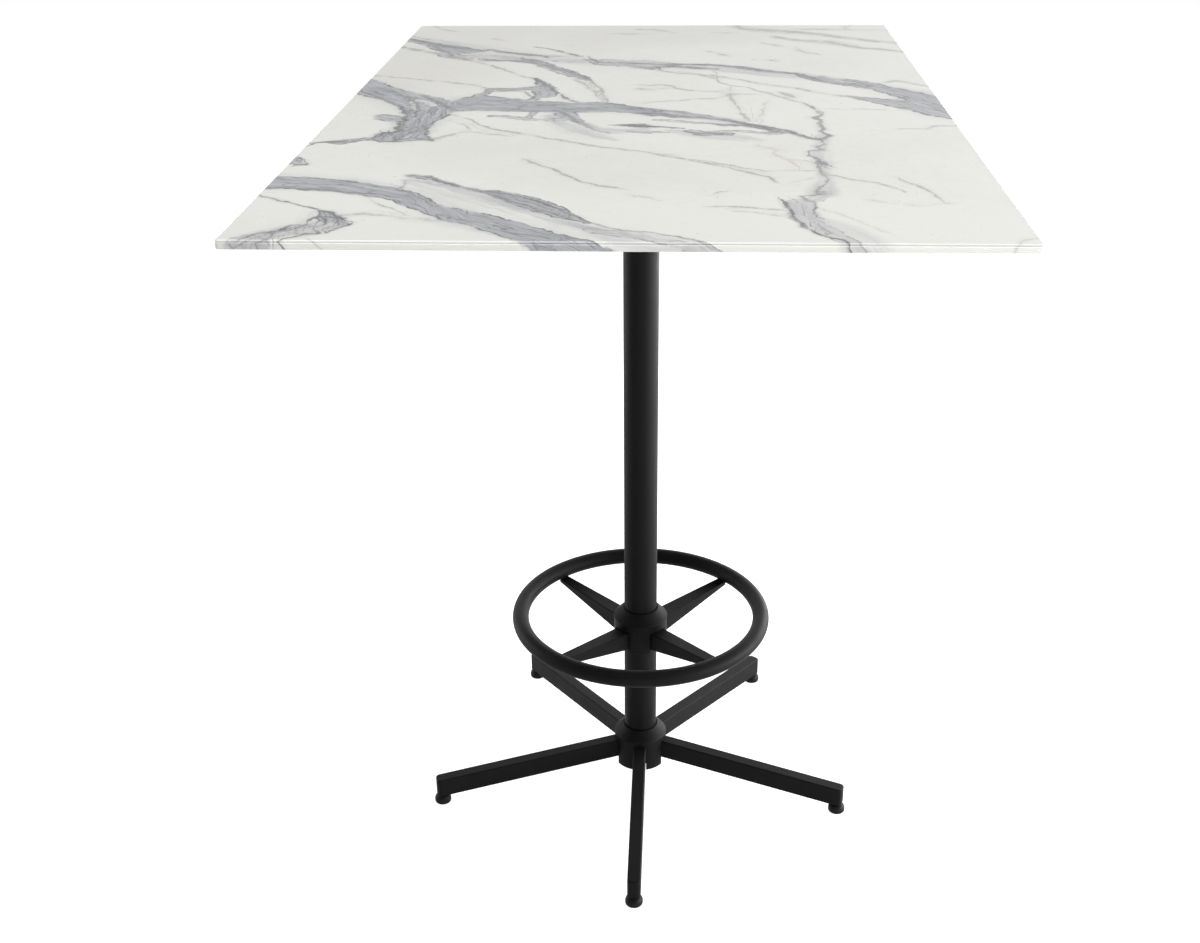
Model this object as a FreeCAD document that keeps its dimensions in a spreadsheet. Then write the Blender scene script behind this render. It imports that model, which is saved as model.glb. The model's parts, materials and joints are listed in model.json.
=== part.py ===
import FreeCAD, Part
import Sketcher

import os

# A bar-height pub table: a thin stone slab on a steel spider, one round column held between the
# spider and a slotted hub by a tie rod, a foot ring on four tapered spokes, and five sloping legs
# with levelling glides. Millimetres and degrees, +Z up, the origin on the floor under the column.

LEG_COUNT = 5
SPOKE_COUNT = 4
FRONT_TURN = -90.0
DIAGONAL_TURN = 45.0
HEXAGON_TURN = 15
TOLERANCE = 1e-4

SIZES = {
    # Gap left round every thread and glued sleeve.
    "thread_gap": 0.05,
    # Slab top.
    "table_height": 1035.0,
    "top_width": 762.0,
    "top_length": 1219.2,
    "top_thick": 9.5,
    "top_corner_round": 4.0,
    "top_arris_round": 3.0,
    "top_under_chamfer": 1.0,
    # Threaded inserts glued into the slab, and the screws that hold the spider to them.
    "top_insert_radius": 5.0,
    "top_insert_length": 6.5,
    "top_screw_radius": 3.0,
    "top_screw_head_radius": 6.0,
    "top_screw_head_height": 3.5,
    "top_screw_tip_gap": 0.5,
    "top_screw_near": 120.0,
    "top_screw_edge": 20.0,
    "top_screw_hole_gap": 0.4,
    # Hexagon sockets in the heads of the spider's and the legs' screws.
    "screw_socket_radius": 2.4,
    "screw_socket_depth": 2.2,
    # Spider under the slab.
    "spider_flange_radius": 58.0,
    "spider_thick": 8.0,
    "spider_arm_reach": 290.0,
    "spider_arm_root_width": 42.0,
    "spider_arm_tip_width": 28.0,
    "spider_arm_tip_round": 9.0,
    # Column tube and the tie rod inside it.
    "column_radius": 24.15,
    "column_wall": 2.5,
    "spigot_length": 24.0,
    "spigot_gap": 0.25,
    "rod_radius": 5.0,
    "rod_hole_gap": 0.4,
    "rod_nut_radius": 9.8,
    "rod_nut_height": 5.0,
    "rod_washer_radius": 11.0,
    "rod_washer_thick": 1.6,
    "rod_stand_out": 1.0,
    "nut_pocket_gap": 2.0,
    # Foot ring, its spokes and its hub.
    "ring_height": 280.0,
    "ring_radius": 178.5,
    "ring_tube_radius": 12.0,
    "spoke_reach": 175.0,
    "spoke_root_width": 25.8,
    "spoke_root_depth": 30.4,
    "spoke_root_drop": 16.0,
    "spoke_tip_width": 16.3,
    "spoke_tip_depth": 6.0,
    "spoke_tip_drop": 11.2,
    "spoke_edge_round": 1.5,
    "ring_hub_radius": 39.3,
    "ring_hub_wall": 5.5,
    "ring_hub_boss_wall": 4.5,
    "ring_hub_bore_gap": 0.15,
    "ring_hub_skirt": 2.4,
    "ring_hub_band": 11.5,
    "ring_hub_slot_top_gap": 1.0,
    "ring_hub_slot_gap": 1.8,
    "set_screw_radius": 3.0,
    "set_screw_spacing": 16.0,
    "set_screw_recess": 1.5,
    "set_screw_socket": 1.7,
    "set_screw_socket_depth": 4.0,
    # Conical collar: one on the ring hub and one on the base hub, each round a step on the hub.
    "collar_radius": 39.9,
    "collar_top_radius": 26.6,
    "collar_bore_gap": 0.85,
    "collar_height": 15.3,
    "collar_rim_height": 1.7,
    "collar_shoulder_round": 3.4,
    "collar_lip_round": 0.9,
    "collar_step_radius": 33.2,
    "collar_recess": 2.0,
    "collar_recess_gap": 0.2,
    # Base hub with one slot for each leg, and the plate that clamps the legs in it.
    "base_hub_radius": 39.3,
    "base_hub_wall": 6.0,
    "base_hub_plate": 8.5,
    "base_hub_skirt": 12.3,
    "hub_rim_round": 1.0,
    "base_hub_slot_gap": 0.5,
    "clamp_plate_thick": 4.5,
    "clamp_plate_gap": 0.4,
    "leg_screw_circle": 23.0,
    "leg_screw_radius": 3.0,
    "leg_screw_head_radius": 5.0,
    "leg_screw_head_height": 4.0,
    "leg_screw_depth": 14.0,
    # Legs.
    "leg_width": 19.0,
    "leg_depth": 29.7,
    "leg_slope": 4.1,
    "leg_root_radius": 16.0,
    "leg_overhang": 8.5,
    "leg_corner_round": 6.0,
    "leg_edge_round": 2.2,
    # Levelling glides and the threaded inserts that they screw into.
    "glide_circle": 312.5,
    "glide_radius": 12.3,
    "glide_height": 13.3,
    "glide_foot_round": 3.1,
    "glide_crown_round": 7.2,
    "glide_socket_floor": 4.0,
    "glide_seat_gap": 0.7,
    "glide_insert_recess": 0.8,
    "glide_insert_radius": 6.0,
    "glide_insert_length": 18.0,
    "stud_radius": 4.0,
    "stud_length": 31.0,
    "stud_run_gap": 0.06,
    "stud_end_gap": 2.0,
}

# Heights above the floor and radii that follow from the sizes, in the order they are worked out.
LEVELS = {
    "top_under": "sizes.table_height - sizes.top_thick",
    "flange_under": "top_under - sizes.spider_thick",
    "spigot_radius": "sizes.column_radius - sizes.column_wall - sizes.spigot_gap",
    "rod_hole_radius": "sizes.rod_radius + sizes.rod_hole_gap",
    "rod_stack": "sizes.rod_washer_thick + sizes.rod_nut_height + sizes.rod_stand_out",
    "nut_pocket_floor": "top_under - rod_stack - sizes.nut_pocket_gap",
    "spider_spigot_end": "flange_under - sizes.spigot_length",
    "top_screw_far": "sizes.spider_arm_reach - sizes.top_screw_edge",
    "leg_under_at_glide": "sizes.glide_height + sizes.glide_seat_gap",
    "leg_knee_radius": "sizes.base_hub_radius - sizes.base_hub_wall",
    "leg_root_under": "leg_under_at_glide"
                      " + (sizes.glide_circle - leg_knee_radius) * tan(sizes.leg_slope)",
    "leg_root_top": "leg_root_under + sizes.leg_depth",
    "leg_tip_radius": "sizes.glide_circle + sizes.leg_overhang",
    "leg_tip_under": "leg_under_at_glide - sizes.leg_overhang * tan(sizes.leg_slope)",
    "base_hub_end": "leg_root_under - sizes.base_hub_skirt",
    "base_hub_top": "leg_root_top + sizes.base_hub_plate",
    "base_hub_shoulder": "base_hub_top - sizes.collar_recess",
    "base_spigot_end": "base_hub_top + sizes.spigot_length",
    "clamp_plate_under": "leg_root_under - sizes.clamp_plate_thick",
    "rod_end": "clamp_plate_under - rod_stack",
    "rod_top": "nut_pocket_floor + rod_stack",
    "insert_end": "leg_under_at_glide + sizes.glide_insert_recess",
    "stud_top": "sizes.glide_socket_floor + sizes.stud_length",
    "stud_hole_radius": "sizes.stud_radius + sizes.stud_run_gap",
    "spoke_root_top": "sizes.ring_height - sizes.spoke_root_drop",
    "spoke_root_under": "spoke_root_top - sizes.spoke_root_depth",
    "spoke_tip_top": "sizes.ring_height - sizes.spoke_tip_drop",
    "spoke_tip_under": "spoke_tip_top - sizes.spoke_tip_depth",
    "ring_hub_bore": "sizes.column_radius + sizes.ring_hub_bore_gap",
    "ring_hub_boss": "ring_hub_bore + sizes.ring_hub_boss_wall",
    "ring_hub_inside": "sizes.ring_hub_radius - sizes.ring_hub_wall",
    "ring_hub_end": "spoke_root_under - sizes.ring_hub_skirt",
    "ring_hub_slot_top": "spoke_root_top + sizes.ring_hub_slot_top_gap",
    "ring_hub_shoulder": "ring_hub_slot_top + sizes.ring_hub_band",
    "ring_hub_top": "ring_hub_shoulder + sizes.collar_recess",
    "set_screw_height": "(ring_hub_end + ring_hub_slot_top) / 2",
    "collar_recess_radius": "sizes.collar_step_radius + sizes.collar_recess_gap",
    "collar_bore": "sizes.column_radius + sizes.collar_bore_gap",
}


def fill_sheet(doc):
    """Keep the driving dimensions in the document's spreadsheet, one alias to a row."""
    sheet = doc.addObject("Spreadsheet::Sheet", "sizes")
    for row, (alias, value) in enumerate(SIZES.items(), start=1):
        sheet.set(f"A{row}", alias)
        sheet.set(f"B{row}", str(value))
        sheet.setAlias(f"B{row}", alias)
    doc.recompute()


def fill_levels(doc):
    """Work out the heights and radii that several pieces share."""
    levels = doc.addObject("App::VarSet", "levels")
    for name, expression in LEVELS.items():
        levels.addProperty("App::PropertyFloat", name, "Levels")
        levels.setExpression(name, expression)
        doc.recompute()


def new_body(doc, label, separate_solids=False):
    """Start a sub-part; a group of like fasteners is allowed to hold separate solids."""
    body = doc.addObject("PartDesign::Body", label)
    body.Label = label
    body.AllowCompound = separate_solids
    return body


def origin_feature(body, role):
    """One of the body's own origin planes or axes, such as XY_Plane or Z_Axis."""
    return next(item for item in body.Origin.OriginFeatures if item.Role == role)


def new_sketch(body, role, offset="0", turn=0.0):
    """A sketch on the body's own origin plane, lifted off it along the normal and turned in it."""
    sketch = body.newObject("Sketcher::SketchObject", body.Label + "_sketch")
    sketch.AttachmentSupport = [(origin_feature(body, role), "")]
    sketch.MapMode = "FlatFace"
    rotation = FreeCAD.Rotation(FreeCAD.Vector(0, 0, 1), turn)
    sketch.AttachmentOffset = FreeCAD.Placement(FreeCAD.Vector(), rotation)
    sketch.setExpression(".AttachmentOffset.Base.z", offset)
    return sketch


def pin_point(sketch, geometry, point, across, up):
    """Fix a sketch point by two expressions measured from the sketch's origin."""
    for kind, axis, expression in (("DistanceX", -2, across), ("DistanceY", -1, up)):
        if expression == "0":
            sketch.addConstraint(Sketcher.Constraint("PointOnObject", geometry, point, axis))
            continue
        value = sketch.evalExpression(expression)
        constraint = Sketcher.Constraint(kind, -1, 1, geometry, point, value)
        index = sketch.addConstraint(constraint)
        sketch.setExpression(f"Constraints[{index}]", expression)


def add_polygon(sketch, corners):
    """Draw a closed outline through corners, each a pair of expressions (across, up)."""
    points = [
        FreeCAD.Vector(sketch.evalExpression(across), sketch.evalExpression(up), 0)
        for across, up in corners
    ]
    first = sketch.GeometryCount
    for index, start in enumerate(points):
        sketch.addGeometry(Part.LineSegment(start, points[(index + 1) % len(points)]))
    for index in range(len(points)):
        following = first + (index + 1) % len(points)
        sketch.addConstraint(Sketcher.Constraint("Coincident", first + index, 2, following, 1))
    for index, (across, up) in enumerate(corners):
        pin_point(sketch, first + index, 1, across, up)


def add_circle(sketch, across, up, radius):
    """Draw a circle about a pinned centre."""
    centre = FreeCAD.Vector(sketch.evalExpression(across), sketch.evalExpression(up), 0)
    circle = Part.Circle(centre, FreeCAD.Vector(0, 0, 1), sketch.evalExpression(radius))
    index = sketch.addGeometry(circle)
    pin_point(sketch, index, 3, across, up)
    value = sketch.evalExpression(radius)
    constraint = sketch.addConstraint(Sketcher.Constraint("Radius", index, value))
    sketch.setExpression(f"Constraints[{constraint}]", radius)


def add_hexagon(sketch, across, up, radius):
    """Draw a hexagon about a centre, its corners on a circle of the radius."""
    add_polygon(sketch, [
        (f"{across} + {radius} * cos({turn})", f"{up} + {radius} * sin({turn})")
        for turn in range(HEXAGON_TURN, HEXAGON_TURN + 360, 60)
    ])


def pad(body, sketch, length, reverse=False, symmetric=False):
    """Extrude a sketch by an expression."""
    feature = body.newObject("PartDesign::Pad", body.Label + "_pad")
    feature.Profile = sketch
    feature.Reversed = reverse
    if symmetric:
        feature.SideType = "Symmetric"
    feature.setExpression("Length", length)
    return feature


def pocket(body, sketch, length=None, reverse=False):
    """Cut a sketch into the solid against its normal: through all, or as deep as length says."""
    feature = body.newObject("PartDesign::Pocket", body.Label + "_pocket")
    feature.Profile = sketch
    feature.Reversed = reverse
    if length is None:
        feature.Type = "ThroughAll"
    else:
        feature.setExpression("Length", length)
    return feature


def revolve(body, corners, axis_radius=None):
    """Turn a half section about the Z axis, or about a parallel axis at axis_radius."""
    sketch = new_sketch(body, "XZ_Plane")
    add_polygon(sketch, corners)
    feature = body.newObject("PartDesign::Revolution", body.Label + "_revolution")
    feature.Profile = sketch
    if axis_radius is None:
        feature.ReferenceAxis = (sketch, ["V_Axis"])
    else:
        feature.ReferenceAxis = (sketch, [add_axis_line(sketch, axis_radius)])
    return feature


def add_axis_line(sketch, across):
    """Draw a construction line parallel to the sketch's upright axis, to revolve about."""
    place = sketch.evalExpression(across)
    line = Part.LineSegment(FreeCAD.Vector(place, 0, 0), FreeCAD.Vector(place, 1, 0))
    index = sketch.addGeometry(line, True)
    pin_point(sketch, index, 1, across, "0")
    pin_point(sketch, index, 2, across, "1")
    return "Axis0"


def repeat_round(body, features, count):
    """Repeat features evenly about the Z axis and make the pattern the body's tip."""
    pattern = body.newObject("PartDesign::PolarPattern", body.Label + "_pattern")
    pattern.Originals = features
    pattern.Axis = (origin_feature(body, "Z_Axis"), [""])
    pattern.Angle = 360.0
    pattern.Occurrences = count
    body.Tip = pattern


def edge_names(shape, wanted):
    """Names of the edges that pass a test."""
    return [f"Edge{index}" for index, edge in enumerate(shape.Edges, start=1) if wanted(edge)]


def dress(body, kind, size_property, size, wanted):
    """Fillet or chamfer the tip's edges that pass a test, by an expression."""
    body.Document.recompute()
    base = body.Tip
    feature = body.newObject(f"PartDesign::{kind}", f"{body.Label}_{kind.lower()}")
    feature.Base = (base, edge_names(base.Shape, wanted))
    feature.setExpression(size_property, size)


def fillet(body, radius, wanted):
    """Round the edges that pass a test."""
    dress(body, "Fillet", "Radius", radius, wanted)


def chamfer(body, size, wanted):
    """Bevel the edges that pass a test."""
    dress(body, "Chamfer", "Size", size, wanted)


def size_of(doc, expression):
    """Value of an expression in the document's sizes and levels."""
    return doc.getObject("levels").evalExpression(expression)


def lies_at(edge, height):
    """True for an edge that lies in the level plane at a height."""
    box = edge.BoundBox
    return abs(box.ZMin - height) < TOLERANCE and abs(box.ZMax - height) < TOLERANCE


def is_upright(edge):
    """True for an edge that runs along Z."""
    box = edge.BoundBox
    return box.XLength < TOLERANCE and box.YLength < TOLERANCE and box.ZLength > TOLERANCE


def turned(angle):
    """Placement turned about the Z axis."""
    return FreeCAD.Placement(FreeCAD.Vector(), FreeCAD.Rotation(FreeCAD.Vector(0, 0, 1), angle))


def cylinder(doc, name, radius, bottom, length):
    """An upright cylinder about the Z axis, from expressions."""
    solid = doc.addObject("Part::Cylinder", name)
    solid.setExpression("Radius", radius)
    solid.setExpression("Height", length)
    solid.setExpression(".Placement.Base.z", bottom)
    return solid


def bored(doc, label, blank, radius, bottom, length):
    """Bore a hole along the Z axis through a blank and name the result."""
    cut = doc.addObject("Part::Cut", label)
    cut.Label = label
    cut.Base = blank
    cut.Tool = cylinder(doc, label + "_bore", radius, bottom, length)
    return cut


def make_tube(doc, label, outer, inner, bottom, length):
    """A plain ring or tube about the Z axis."""
    return bored(doc, label, cylinder(doc, label + "_blank", outer, bottom, length), inner,
                 bottom, length)


def make_rod_nut(doc, label, bottom):
    """Hexagon nut on the tie rod."""
    blank = doc.addObject("Part::Prism", label + "_blank")
    blank.Polygon = 6
    blank.setExpression("Circumradius", "sizes.rod_nut_radius")
    blank.setExpression("Height", "sizes.rod_nut_height")
    blank.setExpression(".Placement.Base.z", bottom)
    return bored(doc, label, blank, "sizes.rod_radius + sizes.thread_gap", bottom,
                 "sizes.rod_nut_height")


def add_spider_bolt_circles(sketch, radius):
    """Draw one circle at each of the two screw places of a spider arm."""
    add_circle(sketch, "sizes.top_screw_near", "0", radius)
    add_circle(sketch, "levels.top_screw_far", "0", radius)


def make_tabletop(doc):
    """Stone slab with an eased upper arris and blind holes for the inserts underneath."""
    body = new_body(doc, "tabletop")
    slab = new_sketch(body, "XY_Plane", "levels.top_under")
    half_width = "sizes.top_width / 2"
    half_length = "sizes.top_length / 2"
    add_polygon(slab, [
        (f"-{half_width}", f"-{half_length}"),
        (half_width, f"-{half_length}"),
        (half_width, half_length),
        (f"-{half_width}", half_length),
    ])
    pad(body, slab, "sizes.top_thick")
    fillet(body, "sizes.top_corner_round", is_upright)
    top = size_of(doc, "sizes.table_height")
    under = size_of(doc, "levels.top_under")
    fillet(body, "sizes.top_arris_round", lambda edge: lies_at(edge, top))
    chamfer(body, "sizes.top_under_chamfer", lambda edge: lies_at(edge, under))
    holes = new_sketch(body, "XY_Plane", "levels.top_under", DIAGONAL_TURN)
    add_spider_bolt_circles(holes, "sizes.top_insert_radius + sizes.thread_gap")
    cut = pocket(body, holes, "sizes.top_insert_length + sizes.thread_gap", reverse=True)
    repeat_round(body, [cut], SPOKE_COUNT)
    return body


def make_top_inserts(doc):
    """Threaded sleeves glued into the slab, one over each spider screw."""
    body = new_body(doc, "top_inserts", separate_solids=True)
    sketch = new_sketch(body, "XY_Plane", "levels.top_under", DIAGONAL_TURN)
    add_spider_bolt_circles(sketch, "sizes.top_insert_radius")
    add_spider_bolt_circles(sketch, "sizes.top_screw_radius + sizes.thread_gap")
    sleeves = pad(body, sketch, "sizes.top_insert_length")
    repeat_round(body, [sleeves], SPOKE_COUNT)
    return body


def make_spider_hub(doc):
    """Round flange under the slab, with a spigot down into the column and a pocket for the nut."""
    body = new_body(doc, "spider_hub")
    pocket_radius = "sizes.rod_washer_radius + sizes.nut_pocket_gap"
    revolve(body, [
        ("levels.rod_hole_radius", "levels.spider_spigot_end"),
        ("levels.spigot_radius", "levels.spider_spigot_end"),
        ("levels.spigot_radius", "levels.flange_under"),
        ("sizes.spider_flange_radius", "levels.flange_under"),
        ("sizes.spider_flange_radius", "levels.top_under"),
        (pocket_radius, "levels.top_under"),
        (pocket_radius, "levels.nut_pocket_floor"),
        ("levels.rod_hole_radius", "levels.nut_pocket_floor"),
    ])
    return body


def make_spider_arm(doc, number):
    """Flat arm from the spider's flange out along a diagonal, narrowing to a rounded tip."""
    body = new_body(doc, f"spider_arm_{number}")
    plan = new_sketch(body, "XY_Plane", "levels.flange_under")
    root = "sizes.spider_flange_radius / 2"
    add_polygon(plan, [
        (root, "-sizes.spider_arm_root_width / 2"),
        ("sizes.spider_arm_reach", "-sizes.spider_arm_tip_width / 2"),
        ("sizes.spider_arm_reach", "sizes.spider_arm_tip_width / 2"),
        (root, "sizes.spider_arm_root_width / 2"),
    ])
    pad(body, plan, "sizes.spider_thick")
    reach = size_of(doc, "sizes.spider_arm_reach")
    fillet(body, "sizes.spider_arm_tip_round",
           lambda edge: is_upright(edge) and abs(edge.BoundBox.XMax - reach) < TOLERANCE)
    flange = new_sketch(body, "XY_Plane", "levels.flange_under")
    add_circle(flange, "0", "0", "sizes.spider_flange_radius")
    pocket(body, flange, "sizes.spider_thick", reverse=True)
    holes = new_sketch(body, "XY_Plane", "levels.flange_under")
    add_spider_bolt_circles(holes, "sizes.top_screw_radius + sizes.top_screw_hole_gap")
    pocket(body, holes, "sizes.spider_thick", reverse=True)
    body.Placement = turned(DIAGONAL_TURN + (number - 1) * 360.0 / SPOKE_COUNT)
    return body


def add_screw(body, axis_radius, seat, head_radius, head_height, shank_radius, shank_top):
    """Screw with its head under a seat and its shank upwards, on an axis parallel to Z."""
    return revolve(body, [
        (axis_radius, f"{seat} - {head_height}"),
        (f"{axis_radius} + {head_radius}", f"{seat} - {head_height}"),
        (f"{axis_radius} + {head_radius}", seat),
        (f"{axis_radius} + {shank_radius}", seat),
        (f"{axis_radius} + {shank_radius}", shank_top),
        (axis_radius, shank_top),
    ], axis_radius)


def add_head_socket(body, axis_radius, head_under):
    """Hexagon socket up into a screw's head."""
    sketch = new_sketch(body, "XY_Plane", head_under)
    add_hexagon(sketch, axis_radius, "0", "sizes.screw_socket_radius")
    return pocket(body, sketch, "sizes.screw_socket_depth", reverse=True)


def make_spider_screws(doc):
    """Screws up through the spider arms into the slab's inserts."""
    body = new_body(doc, "spider_screws", separate_solids=True)
    shank_top = "levels.top_under + sizes.top_insert_length - sizes.top_screw_tip_gap"
    head_under = "levels.flange_under - sizes.top_screw_head_height"
    features = []
    for place in ("sizes.top_screw_near", "levels.top_screw_far"):
        features.append(add_screw(body, place, "levels.flange_under",
                                  "sizes.top_screw_head_radius", "sizes.top_screw_head_height",
                                  "sizes.top_screw_radius", shank_top))
        features.append(add_head_socket(body, place, head_under))
    repeat_round(body, features, SPOKE_COUNT)
    body.Placement = turned(DIAGONAL_TURN)
    return body


def make_column(doc):
    """Round tube that stands on the base hub and carries the spider."""
    return make_tube(doc, "column_tube", "sizes.column_radius",
                     "sizes.column_radius - sizes.column_wall", "levels.base_hub_top",
                     "levels.flange_under - levels.base_hub_top")


def make_tie_rod_set(doc):
    """Threaded rod through the column, with a washer and a nut at each end."""
    rod = cylinder(doc, "tie_rod", "sizes.rod_radius", "levels.rod_end",
                   "levels.rod_top - levels.rod_end")
    lower_washer = "levels.clamp_plate_under - sizes.rod_washer_thick"
    pieces = [rod]
    for end, washer_place, nut_place in (
        ("bottom", lower_washer, f"{lower_washer} - sizes.rod_nut_height"),
        ("top", "levels.nut_pocket_floor", "levels.nut_pocket_floor + sizes.rod_washer_thick"),
    ):
        pieces.append(make_tube(doc, f"tie_rod_{end}_washer", "sizes.rod_washer_radius",
                                "levels.rod_hole_radius", washer_place,
                                "sizes.rod_washer_thick"))
        pieces.append(make_rod_nut(doc, f"tie_rod_{end}_nut", nut_place))
    return pieces


def make_foot_ring(doc):
    """Round tube bent into the ring that feet rest on."""
    ring = doc.addObject("Part::Torus", "foot_ring")
    ring.setExpression("Radius1", "sizes.ring_radius")
    ring.setExpression("Radius2", "sizes.ring_tube_radius")
    ring.setExpression(".Placement.Base.z", "sizes.ring_height")
    return ring


def add_spoke_section(body, place, width, under, top):
    """Upright rectangle across the spoke at a distance from the column's axis."""
    sketch = new_sketch(body, "YZ_Plane", place)
    add_polygon(sketch, [
        (f"-{width} / 2", under),
        (f"{width} / 2", under),
        (f"{width} / 2", top),
        (f"-{width} / 2", top),
    ])
    return sketch


def make_spoke(doc, number):
    """Box-section spoke that tapers both ways, shaped to the hub's boss and the ring's tube."""
    body = new_body(doc, f"foot_ring_spoke_{number}")
    root = add_spoke_section(body, "sizes.column_radius", "sizes.spoke_root_width",
                             "levels.spoke_root_under", "levels.spoke_root_top")
    tip = add_spoke_section(body, "sizes.spoke_reach", "sizes.spoke_tip_width",
                            "levels.spoke_tip_under", "levels.spoke_tip_top")
    loft = body.newObject("PartDesign::AdditiveLoft", body.Label + "_loft")
    loft.Profile = root
    loft.Sections = [tip]
    loft.Ruled = True
    span = size_of(doc, "sizes.spoke_reach - sizes.column_radius")
    fillet(body, "sizes.spoke_edge_round", lambda edge: edge.BoundBox.XLength > span / 2)
    boss = body.newObject("PartDesign::SubtractiveCylinder", body.Label + "_boss")
    boss.setExpression("Radius", "levels.ring_hub_boss")
    boss.setExpression("Height", "sizes.ring_height")
    tube = body.newObject("PartDesign::SubtractiveTorus", body.Label + "_tube")
    tube.setExpression("Radius1", "sizes.ring_radius")
    tube.setExpression("Radius2", "sizes.ring_tube_radius")
    tube.setExpression(".Placement.Base.z", "sizes.ring_height")
    body.Placement = turned(DIAGONAL_TURN + (number - 1) * 360.0 / SPOKE_COUNT)
    return body


def cut_slots(body, top, half_width, inside, outside, turn, count):
    """Cut slots that are open at the hub's lower end, one for each arm that passes through."""
    sketch = new_sketch(body, "XY_Plane", top, turn)
    add_polygon(sketch, [
        (inside, f"-({half_width})"),
        (outside, f"-({half_width})"),
        (outside, half_width),
        (inside, half_width),
    ])
    repeat_round(body, [pocket(body, sketch)], count)


def round_rim(body, height, radius):
    """Ease a hub's outer edge at a height, before its slots are cut."""
    level = size_of(body.Document, height)
    reach = size_of(body.Document, radius)
    fillet(body, "sizes.hub_rim_round",
           lambda edge: lies_at(edge, level) and edge.BoundBox.XMax > reach - TOLERANCE)


def add_at_set_screws(sketch, outline, radius):
    """Draw an outline at the two set screw places, one above the other on the hub's back."""
    outline(sketch, "0", "levels.set_screw_height - sizes.set_screw_spacing / 2", radius)
    outline(sketch, "0", "levels.set_screw_height + sizes.set_screw_spacing / 2", radius)


def make_ring_hub(doc):
    """Hub of the foot ring: a skirt with four slots round a boss that slides on the column."""
    body = new_body(doc, "foot_ring_hub")
    revolve(body, [
        ("levels.ring_hub_bore", "levels.ring_hub_end"),
        ("levels.ring_hub_boss", "levels.ring_hub_end"),
        ("levels.ring_hub_boss", "levels.ring_hub_slot_top"),
        ("levels.ring_hub_inside", "levels.ring_hub_slot_top"),
        ("levels.ring_hub_inside", "levels.ring_hub_end"),
        ("sizes.ring_hub_radius", "levels.ring_hub_end"),
        ("sizes.ring_hub_radius", "levels.ring_hub_shoulder"),
        ("sizes.collar_step_radius", "levels.ring_hub_shoulder"),
        ("sizes.collar_step_radius", "levels.ring_hub_top"),
        ("levels.ring_hub_bore", "levels.ring_hub_top"),
    ])
    round_rim(body, "levels.ring_hub_end", "sizes.ring_hub_radius")
    cut_slots(body, "levels.ring_hub_slot_top",
              "sizes.spoke_root_width / 2 + sizes.ring_hub_slot_gap",
              "levels.ring_hub_boss + sizes.ring_hub_slot_top_gap",
              "sizes.ring_hub_radius + sizes.ring_hub_wall", DIAGONAL_TURN, SPOKE_COUNT)
    holes = new_sketch(body, "XZ_Plane")
    add_at_set_screws(holes, add_circle, "sizes.set_screw_radius + sizes.thread_gap")
    pocket(body, holes)
    return body


def make_ring_set_screws(doc):
    """Set screws through the back of the ring hub that clamp it to the column."""
    body = new_body(doc, "foot_ring_set_screws", separate_solids=True)
    shank = new_sketch(body, "XZ_Plane", "-(sizes.column_radius + sizes.thread_gap)")
    add_at_set_screws(shank, add_circle, "sizes.set_screw_radius")
    length = "sizes.ring_hub_radius - sizes.set_screw_recess - sizes.column_radius"
    pad(body, shank, length, reverse=True)
    socket = new_sketch(body, "XZ_Plane", "sizes.set_screw_socket_depth + sizes.set_screw_recess"
                        " - sizes.ring_hub_radius")
    add_at_set_screws(socket, add_hexagon, "sizes.set_screw_socket")
    pocket(body, socket)
    return body


def make_collar(doc, label, seat):
    """Conical collar round the column, recessed underneath to sit over a hub's step."""
    body = new_body(doc, label)
    rim_top = f"{seat} + sizes.collar_rim_height"
    top = f"{seat} + sizes.collar_height"
    recess = f"{seat} + sizes.collar_recess"
    revolve(body, [
        ("levels.collar_recess_radius", seat),
        ("sizes.collar_radius", seat),
        ("sizes.collar_radius", rim_top),
        ("sizes.collar_top_radius", top),
        ("levels.collar_bore", top),
        ("levels.collar_bore", recess),
        ("levels.collar_recess_radius", recess),
    ])
    shoulder_height = size_of(doc, rim_top)
    lip_height = size_of(doc, top)
    lip_radius = size_of(doc, "(sizes.collar_top_radius + levels.collar_bore) / 2")
    fillet(body, "sizes.collar_shoulder_round", lambda edge: lies_at(edge, shoulder_height))
    fillet(body, "sizes.collar_lip_round",
           lambda edge: lies_at(edge, lip_height) and edge.BoundBox.XMax > lip_radius)
    return body


def make_base_hub(doc):
    """Base hub: a slotted cup for the leg roots, with a spigot up into the column."""
    body = new_body(doc, "base_hub")
    revolve(body, [
        ("levels.rod_hole_radius", "levels.leg_root_top"),
        ("levels.leg_knee_radius", "levels.leg_root_top"),
        ("levels.leg_knee_radius", "levels.base_hub_end"),
        ("sizes.base_hub_radius", "levels.base_hub_end"),
        ("sizes.base_hub_radius", "levels.base_hub_shoulder"),
        ("sizes.collar_step_radius", "levels.base_hub_shoulder"),
        ("sizes.collar_step_radius", "levels.base_hub_top"),
        ("levels.spigot_radius", "levels.base_hub_top"),
        ("levels.spigot_radius", "levels.base_spigot_end"),
        ("levels.rod_hole_radius", "levels.base_spigot_end"),
    ])
    round_rim(body, "levels.base_hub_end", "sizes.base_hub_radius")
    cut_slots(body, "levels.leg_root_top", "sizes.leg_width / 2 + sizes.base_hub_slot_gap",
              "levels.leg_knee_radius - sizes.base_hub_wall",
              "sizes.base_hub_radius + sizes.base_hub_wall", FRONT_TURN, LEG_COUNT)
    return body


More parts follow.
